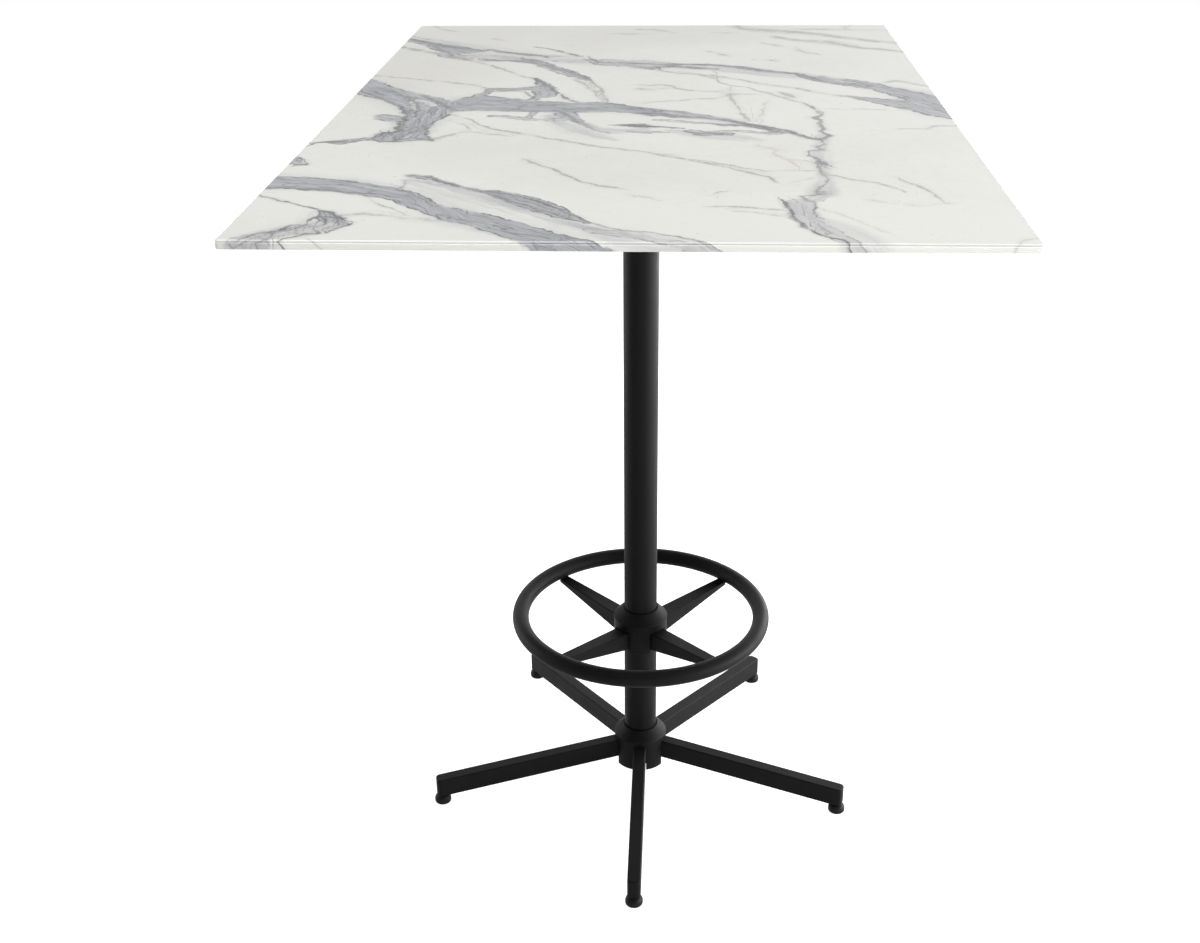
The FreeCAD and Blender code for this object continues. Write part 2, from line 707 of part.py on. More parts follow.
def make_clamp_plate(doc):
    """Round plate inside the base hub that holds the leg roots up against it."""
    body = new_body(doc, "base_clamp_plate")
    disc = new_sketch(body, "XY_Plane", "levels.clamp_plate_under")
    add_circle(disc, "0", "0", "levels.leg_knee_radius - sizes.clamp_plate_gap")
    add_circle(disc, "0", "0", "levels.rod_hole_radius")
    pad(body, disc, "sizes.clamp_plate_thick")
    hole = new_sketch(body, "XY_Plane", "levels.leg_root_under", FRONT_TURN)
    add_circle(hole, "sizes.leg_screw_circle", "0", "sizes.leg_screw_radius + sizes.rod_hole_gap")
    repeat_round(body, [pocket(body, hole)], LEG_COUNT)
    return body


def make_leg_screws(doc):
    """Screws up through the clamp plate into the leg roots."""
    body = new_body(doc, "leg_screws", separate_solids=True)
    screw = add_screw(body, "sizes.leg_screw_circle", "levels.clamp_plate_under",
                      "sizes.leg_screw_head_radius", "sizes.leg_screw_head_height",
                      "sizes.leg_screw_radius", "levels.leg_root_under + sizes.leg_screw_depth")
    socket = add_head_socket(body, "sizes.leg_screw_circle",
                             "levels.clamp_plate_under - sizes.leg_screw_head_height")
    repeat_round(body, [screw, socket], LEG_COUNT)
    body.Placement = turned(FRONT_TURN)
    return body


def make_leg(doc, number):
    """Leg with a level root in the hub, then a straight slope down to its upright tip."""
    body = new_body(doc, f"leg_{number}")
    side = new_sketch(body, "XZ_Plane")
    add_polygon(side, [
        ("sizes.leg_root_radius", "levels.leg_root_under"),
        ("levels.leg_knee_radius", "levels.leg_root_under"),
        ("levels.leg_tip_radius", "levels.leg_tip_under"),
        ("levels.leg_tip_radius", "levels.leg_tip_under + sizes.leg_depth"),
        ("levels.leg_knee_radius", "levels.leg_root_top"),
        ("sizes.leg_root_radius", "levels.leg_root_top"),
    ])
    pad(body, side, "sizes.leg_width", symmetric=True)
    tip = size_of(doc, "levels.leg_tip_radius")
    knee = size_of(doc, "levels.leg_knee_radius")

    def at_tip(edge):
        return edge.BoundBox.XMin > tip - TOLERANCE and edge.BoundBox.YLength < TOLERANCE

    def along_bar(edge):
        box = edge.BoundBox
        start, end = edge.valueAt(edge.FirstParameter), edge.valueAt(edge.LastParameter)
        rises = abs(start.z - end.z) > box.XLength
        return box.XMax > knee + TOLERANCE and not rises

    fillet(body, "sizes.leg_corner_round", at_tip)
    fillet(body, "sizes.leg_edge_round", along_bar)
    bore = new_sketch(body, "XY_Plane")
    add_circle(bore, "sizes.glide_circle", "0", "sizes.glide_insert_radius + sizes.thread_gap")
    pocket(body, bore, "levels.stud_top + sizes.stud_end_gap", reverse=True)
    tapped = new_sketch(body, "XY_Plane")
    add_circle(tapped, "sizes.leg_screw_circle", "0", "sizes.leg_screw_radius + sizes.thread_gap")
    pocket(body, tapped, "levels.leg_root_under + sizes.leg_screw_depth + sizes.stud_end_gap",
           reverse=True)
    body.Placement = turned(FRONT_TURN + (number - 1) * 360.0 / LEG_COUNT)
    return body


def make_glide_inserts(doc):
    """Threaded sleeves set upright in the leg tips."""
    body = new_body(doc, "glide_inserts", separate_solids=True)
    sketch = new_sketch(body, "XY_Plane", "levels.insert_end", FRONT_TURN)
    add_circle(sketch, "sizes.glide_circle", "0", "sizes.glide_insert_radius")
    add_circle(sketch, "sizes.glide_circle", "0", "levels.stud_hole_radius")
    sleeve = pad(body, sketch, "sizes.glide_insert_length")
    repeat_round(body, [sleeve], LEG_COUNT)
    return body


def make_glide_stud(doc, number):
    """Threaded stud of a levelling glide."""
    body = new_body(doc, f"glide_stud_{number}")
    sketch = new_sketch(body, "XY_Plane", "sizes.glide_socket_floor")
    add_circle(sketch, "sizes.glide_circle", "0", "sizes.stud_radius")
    pad(body, sketch, "sizes.stud_length")
    body.Placement = turned(FRONT_TURN + (number - 1) * 360.0 / LEG_COUNT)
    return body


def make_glide_pad(doc, number):
    """Moulded foot of a levelling glide: a flat-bottomed bun round the end of its stud."""
    body = new_body(doc, f"glide_pad_{number}")
    centre = "sizes.glide_circle"
    rim = "sizes.glide_circle + sizes.glide_radius"
    socket = "sizes.glide_circle + sizes.stud_radius + sizes.thread_gap"
    revolve(body, [
        (centre, "0"),
        (rim, "0"),
        (rim, "sizes.glide_height"),
        (socket, "sizes.glide_height"),
        (socket, "sizes.glide_socket_floor"),
        (centre, "sizes.glide_socket_floor"),
    ], centre)
    crown = size_of(doc, "sizes.glide_height")
    beside_socket = size_of(doc, "2 * (sizes.glide_radius + sizes.stud_radius) / 2")
    fillet(body, "sizes.glide_foot_round", lambda edge: lies_at(edge, 0.0))
    fillet(body, "sizes.glide_crown_round",
           lambda edge: lies_at(edge, crown) and edge.BoundBox.YLength > beside_socket)
    body.Placement = turned(FRONT_TURN + (number - 1) * 360.0 / LEG_COUNT)
    return body


def build(doc):
    """Build every sub-part, from the slab down to the glides."""
    pieces = [make_tabletop(doc), make_top_inserts(doc), make_spider_hub(doc)]
    pieces += [make_spider_arm(doc, number) for number in range(1, SPOKE_COUNT + 1)]
    pieces += [make_spider_screws(doc), make_column(doc)]
    pieces += make_tie_rod_set(doc)
    pieces += [make_foot_ring(doc)]
    pieces += [make_spoke(doc, number) for number in range(1, SPOKE_COUNT + 1)]
    pieces += [make_ring_hub(doc), make_ring_set_screws(doc)]
    pieces += [make_collar(doc, "foot_ring_collar", "levels.ring_hub_shoulder")]
    pieces += [make_collar(doc, "base_collar", "levels.base_hub_shoulder")]
    pieces += [make_base_hub(doc), make_clamp_plate(doc), make_leg_screws(doc)]
    for number in range(1, LEG_COUNT + 1):
        pieces += [make_leg(doc, number), make_glide_stud(doc, number)]
        pieces += [make_glide_pad(doc, number)]
    pieces += [make_glide_inserts(doc)]
    doc.recompute()
    return pieces


def check(doc, pieces):
    """Stop on any failed feature or unsound shape."""
    for item in doc.Objects:
        if "Invalid" in item.State or "Error" in item.State:
            raise RuntimeError(f"{item.Name} ({item.Label}) failed: {item.State}")
    for piece in pieces:
        if piece.Shape.isNull() or not piece.Shape.isValid():
            raise RuntimeError(f"{piece.Label} has no sound shape")


def export(pieces):
    """Write one STEP file for each sub-part."""
    os.makedirs("parts", exist_ok=True)
    for piece in pieces:
        piece.Shape.exportStep(f"parts/{piece.Label}.step")
        print(piece.Label, len(piece.Shape.Solids), round(piece.Shape.Volume))


document = FreeCAD.newDocument("pub_table")
fill_sheet(document)
fill_levels(document)
sub_parts = build(document)
check(document, sub_parts)
export(sub_parts)
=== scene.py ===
"""Looks of the bar-height pedestal table: veined slab, black powder-coated steel, levelling glides."""

from __future__ import annotations

import json
import logging
import math
from dataclasses import dataclass
from enum import Enum
from typing import NamedTuple

import bmesh
import bpy
import numpy as np
from mathutils import Matrix, Vector, noise


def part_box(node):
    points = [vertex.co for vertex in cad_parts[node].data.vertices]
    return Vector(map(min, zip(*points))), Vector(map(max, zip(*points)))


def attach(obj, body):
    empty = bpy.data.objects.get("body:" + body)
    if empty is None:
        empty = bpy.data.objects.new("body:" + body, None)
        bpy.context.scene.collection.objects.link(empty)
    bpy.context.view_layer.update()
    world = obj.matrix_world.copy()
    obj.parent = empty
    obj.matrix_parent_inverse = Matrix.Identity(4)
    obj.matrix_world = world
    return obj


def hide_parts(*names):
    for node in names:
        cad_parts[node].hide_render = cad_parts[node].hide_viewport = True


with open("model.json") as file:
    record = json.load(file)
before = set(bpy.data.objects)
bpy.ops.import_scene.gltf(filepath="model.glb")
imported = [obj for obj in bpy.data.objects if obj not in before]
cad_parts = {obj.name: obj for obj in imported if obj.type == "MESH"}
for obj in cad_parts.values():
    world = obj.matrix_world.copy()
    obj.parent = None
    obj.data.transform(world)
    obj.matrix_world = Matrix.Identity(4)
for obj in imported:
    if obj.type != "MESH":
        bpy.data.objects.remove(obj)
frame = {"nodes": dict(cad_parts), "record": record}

LOG = logging.getLogger("pub_table")
MM = 0.001
GLIDES = 5

# Distances in metres: corners that a cut merges, points that touch, and edges that lie level.
WELD = 1e-7
TOUCHING = 1e-6
LEVEL = 1e-5

Place = tuple[float, float, float]
Colour = tuple[float, float, float, float]
Socket = bpy.types.NodeSocket
Value = Socket | float
VeinLine = tuple[Place, ...]


class Slot(Enum):
    """Material slots of the record."""

    SLAB = "slab"
    PAINT = "powder_coat"
    ZINC = "zinc_steel"
    BRASS = "insert_brass"
    PLASTIC = "glide_plastic"


class VeinKind(Enum):
    """What a vein line draws on the slab."""

    BAND = "band"
    LACE = "lace"
    CRACKLED = "crackled"
    WASH = "wash"
    HAZE = "haze"
    DARK = "dark"
    PALE = "pale"
    ROSE = "rose"


class Grain(NamedTuple):
    """A noise pattern: its scale, octaves, weight of the finer octaves, swirl and stretch."""

    scale: float
    detail: float = 3.0
    roughness: float = 0.5
    distortion: float = 0.0
    stretch: Place | None = None


class Streaks(NamedTuple):
    """A noise drawn out along the veins: its scale each way, where it is cut and its grain."""

    along: float
    across: float
    cut: float
    grain: Grain


class Span(NamedTuple):
    """A range of a number, and the numbers that its two ends are mapped to."""

    low: float
    high: float
    start: float = 0.0
    end: float = 1.0


class Relief(NamedTuple):
    """A relief: what a height of 1 stands for, in metres, and the relief's strength."""

    distance: float
    strength: float


class Ink(NamedTuple):
    """A kind of hairline: its attribute, colour, weight where it is broken, and solid share."""

    attribute: str
    colour: Colour
    faintest: float
    solid: float


def tint(code: str) -> Colour:
    """Turn a colour as written for a screen into linear values.

    Args:
        code: six hexadecimal digits, red first.

    Returns:
        The linear colour, opaque.
    """
    parts = [int(code[k:k + 2], 16) / 255.0 for k in (0, 2, 4)]
    red, green, blue = (v / 12.92 if v <= 0.04045 else ((v + 0.055) / 1.055) ** 2.4 for v in parts)
    return (red, green, blue, 1.0)


class Wiring:
    """A node tree, with short calls for the nodes that the finishes use."""

    def __init__(self, tree: bpy.types.NodeTree) -> None:
        """Take over a node tree."""
        self.tree = tree

    def add(self, kind: str, inputs: dict[str | int, Value | Place | Colour] | None = None,
            **settings: str) -> bpy.types.Node:
        """Add a node.

        Args:
            kind: its type, without the words that the types of all shader nodes begin with.
            inputs: as feed takes them.
            settings: the node's own settings.

        Returns:
            The node.
        """
        node = self.tree.nodes.new(f"ShaderNode{kind}")
        for name, setting in settings.items():
            setattr(node, name, setting)
        self.feed(node, inputs or {})
        return node

    def feed(self, node: bpy.types.Node, inputs: dict[str | int, Value | Place | Colour]) -> None:
        """Link or set a node's inputs.

        Args:
            node: the node to feed.
            inputs: by input name or number, a socket to link or a value to set.
        """
        for key, value in inputs.items():
            if isinstance(value, Socket):
                self.tree.links.new(value, node.inputs[key])
            else:
                node.inputs[key].default_value = value

    def parts(self, vector: Socket) -> list[Socket]:
        """Return the three numbers of a vector."""
        return list(self.add("SeparateXYZ", {0: vector}).outputs)

    def attribute(self, name: str) -> list[Socket]:
        """Return the three numbers of one of the piece's own vector attributes."""
        return self.parts(self.add("Attribute", attribute_name=name).outputs["Vector"])

    def vector(self, x: Value, y: Value, z: Value) -> Socket:
        """Join three numbers into a vector."""
        return self.add("CombineXYZ", {0: x, 1: y, 2: z}).outputs[0]

    def noise(self, vector: Socket, grain: Grain) -> Socket:
        """Add a noise pattern.

        Args:
            vector: the coordinates it reads, which are stretched first where the grain says so.
            grain: its settings.

        Returns:
            The pattern, about 0 to 1.
        """
        if grain.stretch:
            vector = self.add("Mapping", {"Vector": vector, "Scale": grain.stretch}).outputs[0]
        inputs = dict(zip(("Scale", "Detail", "Roughness", "Distortion"), grain))
        return self.add("TexNoise", {"Vector": vector, **inputs}).outputs[0]

    def streaks(self, along: Socket, across: Socket, streaks: Streaks) -> Socket:
        """Add a noise that is drawn out along the veins, from the ways along and across them."""
        x, y = self.times(along, streaks.along), self.times(across, streaks.across)
        return self.noise(self.vector(x, y, streaks.cut), streaks.grain)

    def cracks(self, vector: Socket, scale: float) -> Socket:
        """Return the distance to the nearest crack between irregular cells, so many to the metre."""
        cells = {"Vector": vector, "Scale": scale}
        return self.add("TexVoronoi", cells, feature="DISTANCE_TO_EDGE").outputs[0]

    def math(self, operation: str, first: Value, second: Value = 0.0, third: Value = 0.0) -> Socket:
        """Return the result of a Math node's operation on up to three numbers."""
        return self.add("Math", {0: first, 1: second, 2: third}, operation=operation).outputs[0]

    def times(self, first: Value, second: Value) -> Socket:
        """Multiply two numbers."""
        return self.math("MULTIPLY", first, second)

    def plus(self, first: Value, second: Value, weight: float = 1.0) -> Socket:
        """Add a second number, times its weight, to a first."""
        return self.math("MULTIPLY_ADD", second, weight, first)

    def apart(self, first: Value, second: Value) -> Socket:
        """Return how far apart two numbers are."""
        return self.math("ABSOLUTE", self.math("SUBTRACT", first, second))

    def ramp(self, value: Socket, low: Value, high: Value, start: float = 0.0,
             end: float = 1.0) -> Socket:
        """Map a range of a number smoothly onto another, with its ends held.

        Args:
            value: the number.
            low: where the range starts.
            high: where it ends.
            start: the result at low.
            end: the result at high.

        Returns:
            The mapped number.
        """
        inputs = {"Value": value, "From Min": low, "From Max": high, "To Min": start, "To Max": end}
        return self.add("MapRange", inputs, interpolation_type="SMOOTHSTEP").outputs[0]

    def mix(self, factor: Value, under: Socket | Colour, over: Socket | Colour) -> Socket:
        """Lay one colour over another, as far as the factor says."""
        return self.add("Mix", {0: factor, 6: under, 7: over}, data_type="RGBA").outputs[2]

    def bump(self, height: Socket, relief: Relief) -> Socket:
        """Return the surface normal of a height pattern."""
        inputs = {"Height": height, "Distance": relief.distance, "Strength": relief.strength}
        return self.add("Bump", inputs).outputs[0]

    def seen(self, strength: float, base: float = 0.0) -> Socket:
        """Give one strength to rays from the camera, mirrors and glass, and another to the rest.

        Args:
            strength: what those rays see.
            base: what the others see.

        Returns:
            The strength.
        """
        path = self.add("LightPath").outputs
        sees = self.math("MAXIMUM", path["Is Camera Ray"], path["Is Glossy Ray"])
        sees = self.math("MAXIMUM", sees, path["Is Transmission Ray"])
        return self.ramp(sees, 0.0, 1.0, base, strength)


def empty_material(name: str) -> bpy.types.Material:
    """Return a new material whose node tree is empty."""
    material = bpy.data.materials.new(name)
    material.use_nodes = True
    material.node_tree.nodes.clear()
    return material


class Skin(Wiring):
    """The node tree of a new material with a Principled shader."""

    def __init__(self, name: str) -> None:
        """Start the material under its name."""
        self.material = empty_material(name)
        super().__init__(self.material.node_tree)
        self.shader = self.add("BsdfPrincipled")
        self.add("OutputMaterial", {"Surface": self.shader.outputs["BSDF"]})
        self.point = self.add("TexCoord").outputs["Object"]

    def grain(self, grain: Grain) -> Socket:
        """Add a noise pattern that reads the piece's own coordinates."""
        return self.noise(self.point, grain)

    def swing(self, grain: Grain) -> Socket:
        """Add a noise pattern of the piece's own coordinates that swings evenly round 0."""
        return self.math("SUBTRACT", self.grain(grain), 0.5)

    def underside(self, facing: Span) -> Socket:
        """Map how far a face looks up, from -1 to 1, over a range."""
        return self.ramp(self.parts(self.add("NewGeometry").outputs["True Normal"])[2], *facing)

    def surface(self, **inputs: Value | Colour) -> bpy.types.Material:
        """Feed the Principled shader.

        Args:
            inputs: by the socket's name in lower case with underscores, a socket or a value.

        Returns:
            The finished material.
        """
        names = {key.name.lower().replace(" ", "_"): key.name for key in self.shader.inputs}
        self.feed(self.shader, {names[key]: value for key, value in inputs.items()})
        return self.material


@dataclass(frozen=True)
class PowderCoat:
    """Black powder coat: near-black, semi-matt, with a fine orange peel."""

    name: str = "black_powder_coat"
    deep: Colour = (0.0024, 0.0024, 0.0026, 1.0)
    light: Colour = (0.0050, 0.0050, 0.0054, 1.0)
    gloss: float = 0.07
    cloud: Grain = Grain(14.0, 3.0, 0.55)
    peel: Grain = Grain(950.0, 2.0)
    speck: Grain = Grain(2470.0, 1.0)
    cloud_shade: float = 0.75
    peel_shade: float = 0.35
    peel_matting: float = 0.4
    speck_height: float = 0.35
    shading: Span = Span(0.3, 0.8)
    matting: Span = Span(0.4, 1.0, 0.50, 0.61)
    relief: Relief = Relief(0.00006, 0.35)

    def build(self) -> bpy.types.Material:
        """Return the finished material."""
        skin = Skin(self.name)
        cloud, peel, speck = skin.grain(self.cloud), skin.grain(self.peel), skin.grain(self.speck)
        shade = skin.plus(skin.times(cloud, self.cloud_shade), peel, self.peel_shade)
        rough = skin.ramp(skin.plus(cloud, peel, self.peel_matting), *self.matting)
        height = skin.plus(peel, speck, self.speck_height)
        return skin.surface(base_color=skin.mix(skin.ramp(shade, *self.shading), self.deep, self.light),
                            roughness=rough, specular_ior_level=self.gloss,
                            normal=skin.bump(height, self.relief))


@dataclass(frozen=True)
class TwoTone:
    """A finish of two colours, with a pattern each for its colour, its roughness and its relief."""

    name: str
    first: Colour
    second: Colour
    tone: Grain
    toning: Span
    rough: Grain
    matting: Span
    height: Grain
    relief: Relief
    metallic: float = 0.0
    gloss: float = 0.5

    def build(self) -> bpy.types.Material:
        """Return the finished material."""
        skin = Skin(self.name)
        tone = skin.ramp(skin.grain(self.tone), *self.toning)
        return skin.surface(base_color=skin.mix(tone, self.first, self.second), metallic=self.metallic,
                            roughness=skin.ramp(skin.grain(self.rough), *self.matting),
                            specular_ior_level=self.gloss,
                            normal=skin.bump(skin.grain(self.height), self.relief))


@dataclass(frozen=True)
class ZincSteel(TwoTone):
    """Zinc-plated steel: bright grey with a faint bluish and yellowish cast."""

    name: str = "zinc_plated_steel"
    first: Colour = (0.50, 0.53, 0.56, 1.0)
    second: Colour = (0.58, 0.55, 0.47, 1.0)
    tone: Grain = Grain(90.0, 3.0, 0.6)
    toning: Span = Span(0.35, 0.7)
    rough: Grain = Grain(1.0, 2.0, 0.6, stretch=(60.0, 60.0, 900.0))
    matting: Span = Span(0.2, 0.8, 0.30, 0.48)
    height: Grain = rough
    relief: Relief = Relief(0.00004, 0.4)
    metallic: float = 1.0


@dataclass(frozen=True)
class InsertBrass(TwoTone):
    """Turned brass of the threaded inserts."""

    name: str = "turned_brass"
    first: Colour = (0.72, 0.52, 0.22, 1.0)
    second: Colour = (0.48, 0.33, 0.14, 1.0)
    tone: Grain = Grain(160.0, 4.0, 0.6)
    toning: Span = Span(0.45, 0.75)
    rough: Grain = tone
    matting: Span = Span(0.3, 0.8, 0.26, 0.46)
    height: Grain = Grain(1.0, 2.0, stretch=(80.0, 80.0, 1800.0))
    relief: Relief = Relief(0.00005, 0.4)
    metallic: float = 1.0


@dataclass(frozen=True)
class MouldedPlastic(TwoTone):
    """Black moulded plastic of the glides, with a fine eroded grain."""

    name: str = "moulded_plastic"
    first: Colour = (0.0045, 0.0045, 0.0048, 1.0)
    second: Colour = (0.010, 0.010, 0.010, 1.0)
    tone: Grain = Grain(120.0, 5.0, 0.65)
    toning: Span = Span(0.5, 0.8)
    rough: Grain = tone
    matting: Span = Span(0.3, 0.8, 0.46, 0.62)
    height: Grain = Grain(2200.0, 2.0, 0.6)
    relief: Relief = Relief(0.00004, 0.5)
    gloss: float = 0.10


@dataclass(frozen=True)
class VeinedStone:
    """Honed white stone with blue-grey bands, dark hairlines and faint brownish threads."""

    name: str = "veined_white_stone"
    body: Colour = tint("EAEAE4")
    cloud: Colour = tint("DEDED6")
    haze: Colour = tint("D0CDC6")
    wash: Colour = tint("A9ABAE")
    band_light: Colour = tint("A8AAAF")
    band_mid: Colour = tint("888C94")
    band_dark: Colour = tint("646872")
    line: Colour = tint("34363D")
    thread: Colour = tint("98978F")
    rose: Colour = tint("CBC3B4")
    # Colour of the unveined underside, a shade greyer than the face: painted shade.
    under: Colour = tint("BEBEB8")

    # The stone between its veins.
    drift: Grain = Grain(3.2, 4.0, 0.55, 0.4)
    mottle: Grain = Grain(75.0, 4.0, 0.6)
    drift_cloud: float = 0.8
    mottle_cloud: float = 0.35
    clouding: Span = Span(0.45, 0.95)
    hazing: Span = Span(0.15, 0.6, 0.55, 1.0)

    # Washes, and the bands' tones and ragged edges.
    streaks: Streaks = Streaks(11.0, 170.0, 0.0, Grain(1.0, 5.0, 0.62, 0.35))
    wisps: Streaks = Streaks(7.0, 60.0, 4.0, Grain(1.0, 4.0, 0.6, 0.6))
    fibres: Streaks = Streaks(13.0, 105.0, 9.0, Grain(1.0, 2.0, 0.5, 0.6))
    veiling: Span = Span(0.28, 0.66, 0.15, 1.0)
    mid_tone: Span = Span(0.40, 0.60)
    dark_tone: Span = Span(0.57, 0.70, 0.0, 0.80)
    opening: Span = Span(-1.0, 0.0, 0.46, 0.60)
    opening_width: float = 0.09
    opened: float = 0.85
    fibre_ink: Span = Span(0.004, 0.036, 0.74, 0.0)
    rag: Grain = Grain(85.0, 5.0, 0.62)
    rag_reach: float = 0.011
    feather: Grain = Grain(16.0, 2.0)
    feathering: Span = Span(0.40, 0.66, 0.0010, 0.0075)

    # Dark rims along the bands, and the cracks of crackled ones.
    boldness: Span = Span(-0.55, 0.30, 1.0, 1.9)
    rim_depth: float = 0.0008
    rim_core: float = 0.0004
    rim_reach: float = 0.0019
    rim: Grain = Grain(38.0, 3.0, 0.6)
    rim_ink: Span = Span(0.43, 0.53, 0.0, 0.95)
    bend: Grain = Grain(60.0)
    bend_reach: float = 0.02
    crack_scale: float = 44.0
    crack_ink: Span = Span(0.01, 0.055, 0.8, 0.0)

    # Hairlines. Their edge and halo are in shares of their width.
    tremor: Grain = Grain(170.0, 4.0, 0.6)
    tremor_reach: float = 0.0045
    breaks: Grain = Grain(33.0, 4.0, 0.65)
    break_range: tuple[float, float] = (0.34, 0.56)
    swell: Grain = Grain(75.0, 3.0, 0.6)
    swelling: Span = Span(0.32, 0.68, 0.40, 1.40)
    line_edge: float = 1.25
    halo_reach: float = 3.4
    halo_ink: float = 0.26
    inks: tuple[Ink, ...] = (Ink("vein_rose", rose, 0.2, 0.25), Ink("vein_pale", thread, 0.3, 0.25),
                             Ink("vein_dark", line, 0.6, 0.5))

    # The plain, unveined underside, greyer than the face as painted shade, the honed surface and the
    # polished arris, by depths below the top.
    fleck: Grain = Grain(140.0, 4.0, 0.6)
    flecking: Span = Span(0.3, 0.7, 0.0, 0.3)
    plain_shaded_underside: Span = Span(-0.95, -0.60, 1.0, 0.0)
    honing: Span = Span(0.25, 0.75, 0.27, 0.36)
    pitting: Grain = Grain(600.0, 3.0, 0.6)
    relief: Relief = Relief(0.00003, 0.25)
    polish_from: tuple[float, float] = (0.0003, 0.00003)
    polish_to: tuple[float, float] = (0.0034, 0.0026)
    polish_ior: float = 2.4
    polish_roughness: float = 0.16

    def _polish(self, skin: Skin) -> Socket:
        """Find the arris, which is polished where the top is honed.

        Args:
            skin: the material being built.

        Returns:
            1 on the arris and 0 on the top and the edges.
        """
        height = skin.parts(skin.point)[2]
        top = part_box("tabletop")[1][2]
        begun = skin.ramp(height, *(top - depth for depth in self.polish_from), 1.0, 0.0)
        return skin.times(begun, skin.ramp(height, *(top - depth for depth in self.polish_to)))

    def _body(self, skin: Skin) -> Socket:
        """Colour the stone between its veins.

        Args:
            skin: the material being built.

        Returns:
            The colour.
        """
        haze = skin.attribute("vein_soft")[1]
        drift = skin.grain(self.drift)
        fog = skin.plus(skin.times(drift, self.drift_cloud), skin.grain(self.mottle), self.mottle_cloud)
        colour = skin.mix(skin.ramp(fog, *self.clouding), self.body, self.cloud)
        return skin.mix(skin.times(haze, skin.ramp(drift, *self.hazing)), colour, self.haze)

    def _rims(self, skin: Skin, edge: Socket) -> Socket:
        """Find the broken dark rims of the bands, which are bolder towards the back.

        Args:
            skin: the material being built.
            edge: how deep in a band each point lies, in metres.

        Returns:
            How much of the rim shows.
        """
        bold = skin.ramp(skin.parts(skin.point)[1], *self.boldness)
        rim = skin.ramp(skin.apart(edge, self.rim_depth), skin.times(bold, self.rim_core),
                        skin.times(bold, self.rim_reach), 1.0, 0.0)
        return skin.times(rim, skin.ramp(skin.grain(self.rim), *self.rim_ink))

    def _cracks(self, skin: Skin) -> Socket:
        """Find the fine cracks that run through crackled bands.

        Args:
            skin: the material being built.

        Returns:
            How much of a crack shows.
        """
        x, y, z = skin.parts(skin.point)
        bend = skin.grain(self.bend)
        bent = skin.vector(skin.plus(x, bend, self.bend_reach), skin.plus(y, bend, -self.bend_reach), z)
        return skin.ramp(skin.cracks(bent, self.crack_scale), *self.crack_ink)

    def _bands(self, skin: Skin, under: Socket) -> Socket:
        """Lay the washes and the wide bands over the stone.

        Args:
            skin: the material being built.
            under: the colour below.

        Returns:
            The colour with the bands.
        """
        depth, strength, texture = skin.attribute("vein_band")
        along, across, _ = skin.attribute("vein_flow")
        streak, wisp, fibre = (skin.streaks(along, across, kind)
                               for kind in (self.streaks, self.wisps, self.fibres))
        veil = skin.times(skin.attribute("vein_soft")[0], skin.ramp(wisp, *self.veiling))
        colour = skin.mix(veil, under, self.wash)
        tone = skin.mix(skin.ramp(streak, *self.mid_tone), self.band_light, self.band_mid)
        tone = skin.mix(skin.ramp(streak, *self.dark_tone), tone, self.band_dark)
        opening = skin.ramp(texture, *self.opening)
        opened = skin.ramp(wisp, opening, skin.plus(opening, self.opening_width), 0.0, self.opened)
        tone = skin.mix(opened, tone, colour)
        tone = skin.mix(skin.ramp(skin.apart(fibre, 0.5), *self.fibre_ink), tone, self.line)
        edge = skin.plus(depth, skin.swing(self.rag), self.rag_reach)
        feather = skin.ramp(skin.grain(self.feather), *self.feathering)
        cover = skin.times(skin.ramp(edge, skin.times(feather, -1.0), feather), strength)
        colour = skin.mix(cover, colour, tone)
        colour = skin.mix(skin.times(self._rims(skin, edge), strength), colour, self.line)
        return skin.mix(skin.times(self._cracks(skin), skin.times(cover, texture)), colour, self.line)

    def _lines(self, skin: Skin, under: Socket) -> Socket:
        """Draw the hairlines.

        Args:
            skin: the material being built.
            under: the colour below.

        Returns:
            The colour with the hairlines.
        """
        tremor = skin.swing(self.tremor)
        broken = skin.grain(self.breaks)
        swell = skin.ramp(skin.grain(self.swell), *self.swelling)
        colour = under
        for ink in self.inks:
            side, weight, width = skin.attribute(ink.attribute)
            away = skin.math("ABSOLUTE", skin.plus(side, tremor, self.tremor_reach))
            reach = skin.times(width, swell)
            solid, ended = skin.times(reach, ink.solid), skin.times(reach, self.line_edge)
            core = skin.ramp(away, solid, ended, 1.0, 0.0)
            halo = skin.ramp(away, 0.0, skin.times(width, self.halo_reach), self.halo_ink, 0.0)
            weight = skin.times(weight, skin.ramp(broken, *self.break_range, ink.faintest))
            colour = skin.mix(skin.times(skin.math("MAXIMUM", core, halo), weight), colour, ink.colour)
        return colour

    def build(self) -> bpy.types.Material:
        """Return the finished material."""
        skin = Skin(self.name)
        colour = self._lines(skin, self._bands(skin, self._body(skin)))
        fleck = skin.grain(self.fleck)
        # The underside is plain and unveined, and its greyer colour is painted shade.
        plain = skin.mix(skin.ramp(fleck, *self.flecking), self.under, self.cloud)
        colour = skin.mix(skin.underside(self.plain_shaded_underside), colour, plain)
        return skin.surface(base_color=colour, roughness=skin.ramp(fleck, *self.honing),
                            coat_weight=self._polish(skin), coat_roughness=self.polish_roughness,
                            coat_ior=self.polish_ior,
                            normal=skin.bump(skin.grain(self.pitting), self.relief))


@dataclass(frozen=True)
class Vein:
    """One vein of the slab, as a line of points with a half-width at each.

    The points are millimetres from the slab's middle: +X to the right and +Y to the back.
    """

    kind: VeinKind
    strength: float
    line: VeinLine


BAND, LACE, CRACKLED = VeinKind.BAND, VeinKind.LACE, VeinKind.CRACKLED
WASH, HAZE = VeinKind.WASH, VeinKind.HAZE
DARK, PALE, ROSE = VeinKind.DARK, VeinKind.PALE, VeinKind.ROSE

